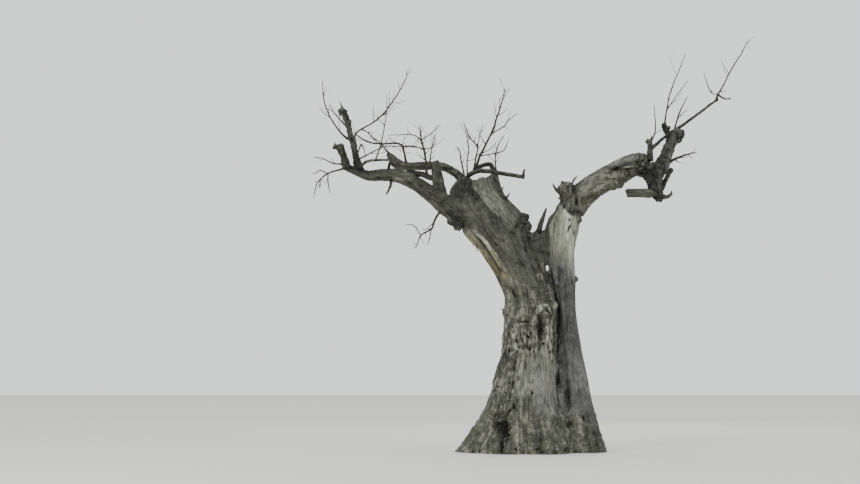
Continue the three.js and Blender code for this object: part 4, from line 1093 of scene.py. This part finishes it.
# The masses of bare twigs, in millimetres: rows are x, y, z and radius, forks leave a row of the stem.
# The first has the rule's first seed, and each that follows has the next.
masses = {
    "twigs_far_left": {"shoots": 4, "stem": [
        (-3040, -570, 4910, 17), (-3150, -670, 5000, 14), (-3280, -780, 5180, 11),
        (-3380, -870, 5420, 10), (-3410, -960, 5760, 5)]},
    "twigs_upright_side": {"shoots": 2, "stem": [
        (-3040, -540, 5100, 16), (-3130, -440, 5200, 13), (-3280, -300, 5400, 10),
        (-3370, -180, 5580, 5)]},
    "twigs_upright_tip": {"shoots": 1, "stem": [
        (-3110, -460, 5370, 18), (-3140, -480, 5440, 13), (-3170, -500, 5540, 6)]},
    "twigs_upright_long": {"shoots": 9, "stem": [
        (-2900, -650, 4760, 17), (-2900, -610, 4990, 15), (-2640, -440, 5200, 14),
        (-2480, -330, 5370, 13), (-2320, -200, 5620, 11), (-2140, -60, 5980, 8), (-2110, 0, 6160, 5)]},
    "twigs_left_whip": {"shoots": 3, "stem": [
        (-2580, -850, 4520, 13), (-2500, -810, 4770, 11), (-2420, -740, 5260, 8),
        (-2410, -700, 5610, 5)]},
    "twigs_upper_arch": {"shoots": 6, "stem": [
        (-2130, 630, 4720, 21), (-2170, 590, 4920, 18), (-2240, 540, 5050, 17), (-2570, 330, 5010, 13),
        (-2760, 170, 5010, 10), (-2920, 40, 5080, 8), (-3000, -40, 5130, 5)]},
    "twigs_upper_tip": {"shoots": 3, "stem": [
        (-2420, 780, 4920, 15), (-2570, 740, 5090, 12), (-2720, 680, 5210, 10), (-2880, 610, 5340, 5)]},
    "twigs_left_arc": {"shoots": 7, "stem": [
        (-2880, -680, 4540, 13), (-2730, -740, 4610, 11), (-2540, -870, 4680, 10), (-2410, -920, 4720, 9),
        (-2040, -1000, 4690, 8), (-1700, -1040, 4670, 7), (-1660, -1050, 4870, 5)]},
    "twigs_left_crook": {"shoots": 1, "stem": [
        (-2880, -670, 4630, 13), (-2820, -610, 4810, 10), (-2780, -460, 4750, 8),
        (-2760, -370, 4630, 5)]},
    "twigs_left_end": {"shoots": 3, "stem": [
        (-3120, -850, 4450, 13), (-3230, -920, 4450, 11), (-3400, -1040, 4510, 8),
        (-3530, -1110, 4510, 5)]},
    "twigs_left_drooping": {"shoots": 4, "stem": [
        (-3080, -850, 4380, 16), (-3320, -800, 4310, 13), (-3450, -740, 4220, 10), (-3500, -810, 4130, 8),
        (-3540, -870, 3900, 5)],
        "forks": [(1, (-3460, -610, 4390, 9), (-3590, -480, 4340, 5)),
                  (1, (-3300, -960, 4120, 9), (-3250, -1040, 3950, 5)), (2, (-3460, -720, 4070, 6))]},
    "twigs_stump_tip": {"shoots": 10, "stem": [
        (-1790, -430, 4370, 20), (-1800, -460, 4560, 18), (-1830, -520, 4740, 16),
        (-1870, -570, 4890, 13), (-1910, -650, 5140, 5)],
        "forks": [(2, (-2010, -480, 4810, 9), (-2220, -440, 4810, 5)),
                  (3, (-2020, -720, 4940, 8), (-2390, -830, 4910, 5)),
                  (3, (-1700, -460, 5030, 8), (-1560, -390, 5190, 5))]},
    "twigs_upper_mid": {"shoots": 3, "stem": [
        (-1740, 480, 4700, 13), (-1710, 560, 4950, 10), (-1670, 630, 5170, 7), (-1660, 650, 5240, 5)]},
    "twigs_shoulder_left": {"shoots": 2, "stem": [
        (-1170, 200, 4420, 15), (-1220, 240, 4690, 13), (-1250, 300, 4890, 10), (-1320, 370, 4990, 5)]},
    "twigs_shoulder_mid": {"shoots": 5, "stem": [
        (-1130, 180, 4410, 14), (-1120, 330, 4740, 11), (-1090, 440, 4930, 10), (-1110, 560, 5130, 8),
        (-1150, 650, 5360, 5)]},
    "twigs_shoulder_right": {"shoots": 5, "stem": [
        (-1030, 60, 4490, 16), (-990, -110, 4720, 13), (-970, -220, 4860, 11), (-1100, -370, 4970, 10),
        (-1210, -560, 5200, 5)],
        "forks": [(2, (-930, -310, 5050, 8), (-880, -370, 5200, 5))]},
    "twigs_tall_crest": {"shoots": 10, "stem": [
        (-1000, 60, 4520, 24), (-920, 40, 4750, 20), (-740, 0, 5110, 16), (-630, -60, 5420, 13),
        (-550, -110, 5680, 10), (-510, -150, 5850, 5)],
        "forks": [(1, (-710, 220, 4820, 11), (-510, 410, 4920, 9), (-410, 560, 5150, 5)),
                  (2, (-550, -220, 5180, 10), (-490, -330, 5250, 8), (-320, -480, 5350, 5))]},
    "twigs_crest_right": {"shoots": 3, "stem": [
        (-670, -200, 4430, 13), (-690, -280, 4630, 11), (-670, -390, 4790, 10), (-560, -520, 4990, 5)]},
    "twigs_hanging": {"shoots": 3, "stem": [
        (-1540, -200, 3850, 20), (-1660, -330, 3650, 18), (-1710, -430, 3500, 15),
        (-1880, -570, 3370, 11), (-1940, -630, 3200, 8), (-2000, -650, 3150, 5)],
        "forks": [(2, (-1740, -520, 3340, 9), (-1770, -570, 3220, 5)),
                  (3, (-1990, -410, 3550, 8), (-2140, -330, 3570, 5))]},
    "twigs_burl_left": {"shoots": 1, "stem": [
        (400, -90, 4060, 17), (280, -200, 4140, 13), (240, -280, 4200, 7)]},
    "twigs_burl_top": {"shoots": 1, "stem": [
        (540, -60, 4230, 17), (600, 0, 4360, 13), (680, 70, 4440, 7)]},
    "twigs_bough_side": {"shoots": 2, "stem": [
        (1990, -480, 4500, 28), (2090, -570, 4570, 22), (2190, -680, 4600, 18), (2280, -780, 4620, 13),
        (2400, -890, 4630, 7)],
        "forks": [(3, (2330, -920, 4510, 6))]},
    "twigs_nub_whips": {"shoots": 2, "stem": [
        (2010, -390, 5180, 14), (2040, -430, 5400, 12), (2080, -480, 5640, 10), (2210, -560, 5990, 8),
        (2330, -630, 6300, 5)],
        "forks": [(1, (2200, -300, 5630, 8), (2480, -90, 5990, 5))]},
    "twigs_head_whip": {"shoots": 1, "stem": [
        (2160, -300, 5030, 16), (2260, -330, 5370, 13), (2400, -370, 5660, 6)]},
    "twigs_stub_whip": {"shoots": 1, "stem": [
        (1750, -560, 4850, 13), (1820, -590, 5040, 11), (1800, -650, 5450, 5)]},
    "twigs_summit": {"shoots": 3, "stem": [
        (2970, 110, 5690, 20), (3010, 170, 5800, 17), (3120, 220, 5980, 13), (3280, 300, 6260, 12),
        (3490, 370, 6580, 10), (3620, 430, 6840, 5)],
        "forks": [(1, (3090, 40, 5700, 14), (3180, -60, 5690, 9)),
                  (1, (2910, 280, 5890, 9), (2840, 410, 6240, 5))]},
}

# The rule that grows shoots from a stem, and the one that carries them to finer twigs.
twigRule = {
    "shoots": {"firstAt": 0.2, "span": 0.75, "lean": 0.55, "leanSpread": 0.5, "length": 0.14,
               "lengthSpread": 0.16, "atFoot": 1.1, "thinning": 0.5, "girth": 0.6, "bend": 0.55,
               "curl": 0.18, "tip": 0.004},
    "twiglets": {"firstAt": 0.3, "span": 0.68, "lean": 0.4, "leanSpread": 0.45, "length": 0.06,
                 "lengthSpread": 0.17, "atFoot": 1.1, "thinning": 0.4, "girth": 0.5, "bend": 0.5,
                 "curl": 0.3, "tip": 0.0015},
    "firstSeed": 11, "goldenTurn": 2.39996, "forkShare": 0.25, "space": 0.42, "slack": 0.02,
    "twigletEvery": 0.24, "twigletReach": (1, 0.8), "clearOff": 0.002, "clearFrom": 0.03,
    "stepLength": 0.018, "sway": 0.007, "swayEvery": 0.09, "fullSway": 0.4, "collar": 0.7,
    "bud": (0.85, 0.6, 0.25), "shootGirth": 0.85, "sunk": 0.012, "fineSeeds": 1000, "snagSeed": 7,
}


def seededDraw(seed):
    state = seed

    def draw():
        nonlocal state
        state = (state * 1664525 + 1013904223) % 4294967296
        return state / 4294967296
    return draw


def lineLength(rows):
    return sum(math.dist(a[:3], b[:3]) for a, b in zip(rows, rows[1:]))


def radiusAt(rows, share):
    place = share * (len(rows) - 1)
    row = min(int(place), len(rows) - 2)
    return rows[row][3] + (rows[row + 1][3] - rows[row][3]) * (place - row)


def shootRows(rows, count, draw, rule, total):
    shoots = []
    for k in range(count):
        share = rule["firstAt"] + rule["span"] * (k + draw()) / count
        place = share * (len(rows) - 1)
        row = min(int(place), len(rows) - 2)
        low, high = Vector(rows[row][:3]), Vector(rows[row + 1][:3])
        foot = low.lerp(high, place - row)
        along = (high - low).normalized()
        sideways = Vector((0, 1, 0)).cross(along).normalized()
        sideways = Quaternion(along, k * twigRule["goldenTurn"] + draw()) @ sideways
        lean = rule["lean"] + rule["leanSpread"] * draw()
        length = total * (rule["length"] + rule["lengthSpread"] * draw())
        length *= rule["atFoot"] - rule["thinning"] * share
        girth = max(radiusAt(rows, share) * rule["girth"], rule["tip"])
        way = along * math.cos(lean) + sideways * math.sin(lean)
        middle = foot + way * length * rule["bend"]
        tip = foot + way * length + Vector((0, 0, length * rule["curl"]))
        shoots.append([(*foot, girth), (*middle, (girth + rule["tip"]) / 2), (*tip, rule["tip"])])
    return shoots


# Whether a shoot stays off the wood, past its foot.
def isClear(rows, tree):
    for row in rows[1:]:
        if tree.find_nearest(Vector(row[:3]), row[3] + twigRule["clearOff"])[0] is not None:
            return False
    start, end = Vector(rows[0][:3]), Vector(rows[-1][:3])
    way = (end - start).normalized()
    return tree.ray_cast(start + way * twigRule["clearFrom"], way, (end - start).length)[0] is None


# A twig's rows as a smooth, faintly swaying line through them: thick at the foot, tapering at its end.
def twigLine(rows, draw, girth):
    rows = np.array(rows)
    ends = np.concatenate([[2 * rows[0] - rows[1]], rows, [2 * rows[-1] - rows[-2]]])
    slopes = (ends[2:] - ends[:-2]) / 2
    steps = np.linalg.norm(np.diff(rows[:, :3], axis=0), axis=1)
    parts = []
    for k, step in enumerate(steps):
        count = max(2, round(step / twigRule["stepLength"]))
        t = np.linspace(0, 1, count + 1)[:count + (k == len(steps) - 1)][:, None]
        parts.append((2 * t ** 3 - 3 * t ** 2 + 1) * rows[k] + (t ** 3 - 2 * t ** 2 + t) * slopes[k]
                     + (3 * t ** 2 - 2 * t ** 3) * rows[k + 1] + (t ** 3 - t ** 2) * slopes[k + 1])
    line = np.concatenate(parts)
    line[:, 3] = np.maximum(line[:, 3], rows[:, 3].min()) * girth
    along = np.concatenate([[0], np.cumsum(np.linalg.norm(np.diff(line[:, :3], axis=0), axis=1))])
    knots = np.linspace(0, along[-1], max(2, round(along[-1] / twigRule["swayEvery"])) + 1)
    sway = twigRule["sway"] * min(1, along[-1] / twigRule["fullSway"])
    for k in range(3):
        bends = np.array([draw() - 0.5 for _ in knots])
        bends[0] = bends[-1] = 0
        line[:, k] += sway * np.interp(along, knots, bends)
    line[:, 3] *= 1 + twigRule["collar"] * np.exp(-along / (2 * line[0, 3] + 0.003))
    line[-3:, 3] *= twigRule["bud"]
    return line


def addTwig(curve, line):
    spline = curve.splines.new("POLY")
    spline.points.add(len(line) - 1)
    spline.points.foreach_set("co", np.concatenate([line[:, :3], np.ones((len(line), 1))], axis=1).ravel())
    spline.points.foreach_set("radius", line[:, 3])


def newCurve(name, roundness):
    curve = bpy.data.curves.new(name, "CURVE")
    curve.dimensions = "3D"
    curve.bevel_depth = 1
    curve.bevel_resolution = roundness
    curve.use_fill_caps = True
    return curve


def curvePiece(name, curve):
    holder = newObject(name + "_line", curve)
    tubes = bmesh.new()
    tubes.from_mesh(settled(holder))
    bmesh.ops.remove_doubles(tubes, verts=tubes.verts, dist=1e-6)
    bmesh.ops.recalc_face_normals(tubes, faces=tubes.faces)
    for face in tubes.faces:
        face.smooth = True
    bpy.data.objects.remove(holder)
    bpy.data.curves.remove(curve)
    return newPiece(name, tubes)


# Grows one mass again by the source's rule, then its finer twigs within the same reach.
def growMass(name, seed, curve, tree):
    def metres(rows):
        return [[value / 1000 for value in row] for row in rows]

    # The stem's foot reaches to just under the bark.
    def rooted(rows):
        foot = Vector(rows[0][:3])
        place, normal = tree.find_nearest(foot)[:2]
        below = place - normal * twigRule["sunk"]
        return rows if (foot - place).dot(normal) < -0.5 * rows[0][3] else [[*below, rows[0][3]], *rows]

    mass = masses[name]
    draw = seededDraw(seed)
    fineDraw = seededDraw(seed + twigRule["fineSeeds"])
    stem = metres(mass["stem"])
    low = [min(row[k] for row in stem) - twigRule["space"] for k in range(3)]
    high = [max(row[k] for row in stem) + twigRule["space"] for k in range(3)]
    parents = [stem]
    for row, *rows in mass.get("forks", []):
        rows = metres(rows)
        parents.append([[*stem[row][:3], rows[0][3]], *rows])
    grown = [(rows, True) for rows in parents]
    for parent in parents:
        count = mass["shoots"] if parent is stem else round(mass["shoots"] * twigRule["forkShare"])
        for rows in shootRows(parent, count, draw, twigRule["shoots"], lineLength(parent)):
            inside = all(low[k] <= rows[2][k] <= high[k] for k in range(3))
            if inside and isClear(rows, tree):
                grown.append((rows, False))
    boxLow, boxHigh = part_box(name)
    slack = twigRule["slack"]
    for rows, isStem in list(grown):
        count = max(1, round(lineLength(rows) / twigRule["twigletEvery"]))
        total = twigRule["twigletReach"][0 if isStem else 1]
        for fine in shootRows(rows, count, fineDraw, twigRule["twiglets"], total):
            inside = all(boxLow[k] - slack <= fine[2][k] <= boxHigh[k] + slack for k in range(3))
            if inside and isClear(fine, tree):
                grown.append((fine, False))
    grown[0] = (rooted(stem), True)
    for rows, isStem in grown:
        addTwig(curve, twigLine(rows, fineDraw, 1 if isStem else twigRule["shootGirth"]))


# Which masses are joined into which piece.
twigPieces = {"bare_twigs_left": (0, 13), "bare_twigs_shoulder": (13, 19), "bare_twigs_right": (19, 26)}

# Splinters and pegs that stand off the bark: each runs from its foot to its tip, in metres.
snags = [
    [(-0.52, -0.06, 4.03, 0.02), (-0.47, -0.07, 4.09, 0.012), (-0.44, -0.08, 4.15, 0.003)],
    [(-0.6, -0.02, 4.17, 0.02), (-0.56, -0.02, 4.21, 0.013), (-0.54, -0.02, 4.25, 0.004)],
    [(-0.36, -0.05, 3.76, 0.02), (-0.28, -0.06, 3.8, 0.007), (-0.2, -0.07, 3.8, 0.003)],
    [(-0.98, -0.1, 3.34, 0.014), (-0.99, -0.12, 3.24, 0.01), (-0.97, -0.12, 3.14, 0.003)],
    [(-1.04, -0.06, 3.4, 0.012), (-1.05, -0.08, 3.31, 0.008), (-1.02, -0.08, 3.22, 0.003)],
    [(-0.54, -0.05, 2.2, 0.014), (-0.59, -0.06, 2.25, 0.008), (-0.63, -0.07, 2.28, 0.003)],
    [(0.4, -0.06, 4.0, 0.02), (0.35, -0.07, 4.03, 0.013), (0.3, -0.08, 4.05, 0.004)],
    [(0.42, -0.03, 4.12, 0.028), (0.33, -0.04, 4.16, 0.022), (0.26, -0.05, 4.24, 0.017),
     (0.25, -0.05, 4.3, 0.006)],
    [(0.4, -0.05, 4.19, 0.02), (0.35, -0.06, 4.21, 0.014), (0.32, -0.06, 4.26, 0.005)],
    [(-3.1, -0.5, 5.4, 0.034), (-3.15, -0.5, 5.38, 0.026), (-3.165, -0.5, 5.32, 0.018),
     (-3.15, -0.5, 5.26, 0.006)],
    [(-3.03, -0.57, 5.16, 0.025), (-2.99, -0.56, 5.19, 0.018), (-2.98, -0.56, 5.22, 0.01)],
    [(-3.2, -0.9, 4.7, 0.03), (-3.21, -0.88, 4.75, 0.018), (-3.22, -0.87, 4.8, 0.004)],
    [(-3.1, -0.87, 4.7, 0.03), (-3.08, -0.86, 4.74, 0.014), (-3.07, -0.86, 4.77, 0.004)],
    [(1.74, -0.57, 4.85, 0.022), (1.76, -0.57, 4.92, 0.014), (1.76, -0.57, 4.97, 0.004)],
    [(1.74, -0.57, 4.85, 0.022), (1.7, -0.57, 4.9, 0.014), (1.68, -0.57, 4.91, 0.005)],
]
snagWear = {"tone": 0.16, "bare": 0.1, "warm": 0.4}


def makeTwigs():
    skin = bmesh.new()
    for piece in bpy.context.scene.objects:
        if piece.name.startswith(("bark_left", "bark_right", "bark_burl")):
            skin.from_mesh(piece.data)
    tree = BVHTree.FromBMesh(skin)
    skin.free()
    for name, (first, last) in twigPieces.items():
        curve = newCurve(name, 1)
        nodes = list(masses)[first:last]
        for k, node in enumerate(nodes, first):
            growMass(node, twigRule["firstSeed"] + k, curve, tree)
        finishPiece(curvePiece(name, curve), twigMaterial, nodes, "twigs")
    curve = newCurve("bark_snags", 2)
    draw = seededDraw(twigRule["snagSeed"])
    for rows in snags:
        addTwig(curve, twigLine(rows, draw, 1))
    piece = curvePiece("bark_snags", curve)
    for key, value in snagWear.items():
        writeLayer(piece.data, key, np.full(len(piece.data.vertices), value))
    finishPiece(piece, woodMaterial, [], "bark")
    print("stage: grew the twigs")


makeCamera()
makeStudio()
woodMaterial = weatheredWood()
twigMaterial = dryTwigBark()
limbTrees = {name: limbTree(name) for name in cadOrder if not name.startswith("twigs_")}
print("stage: read the solids")
makeWood()
makeTwigs()
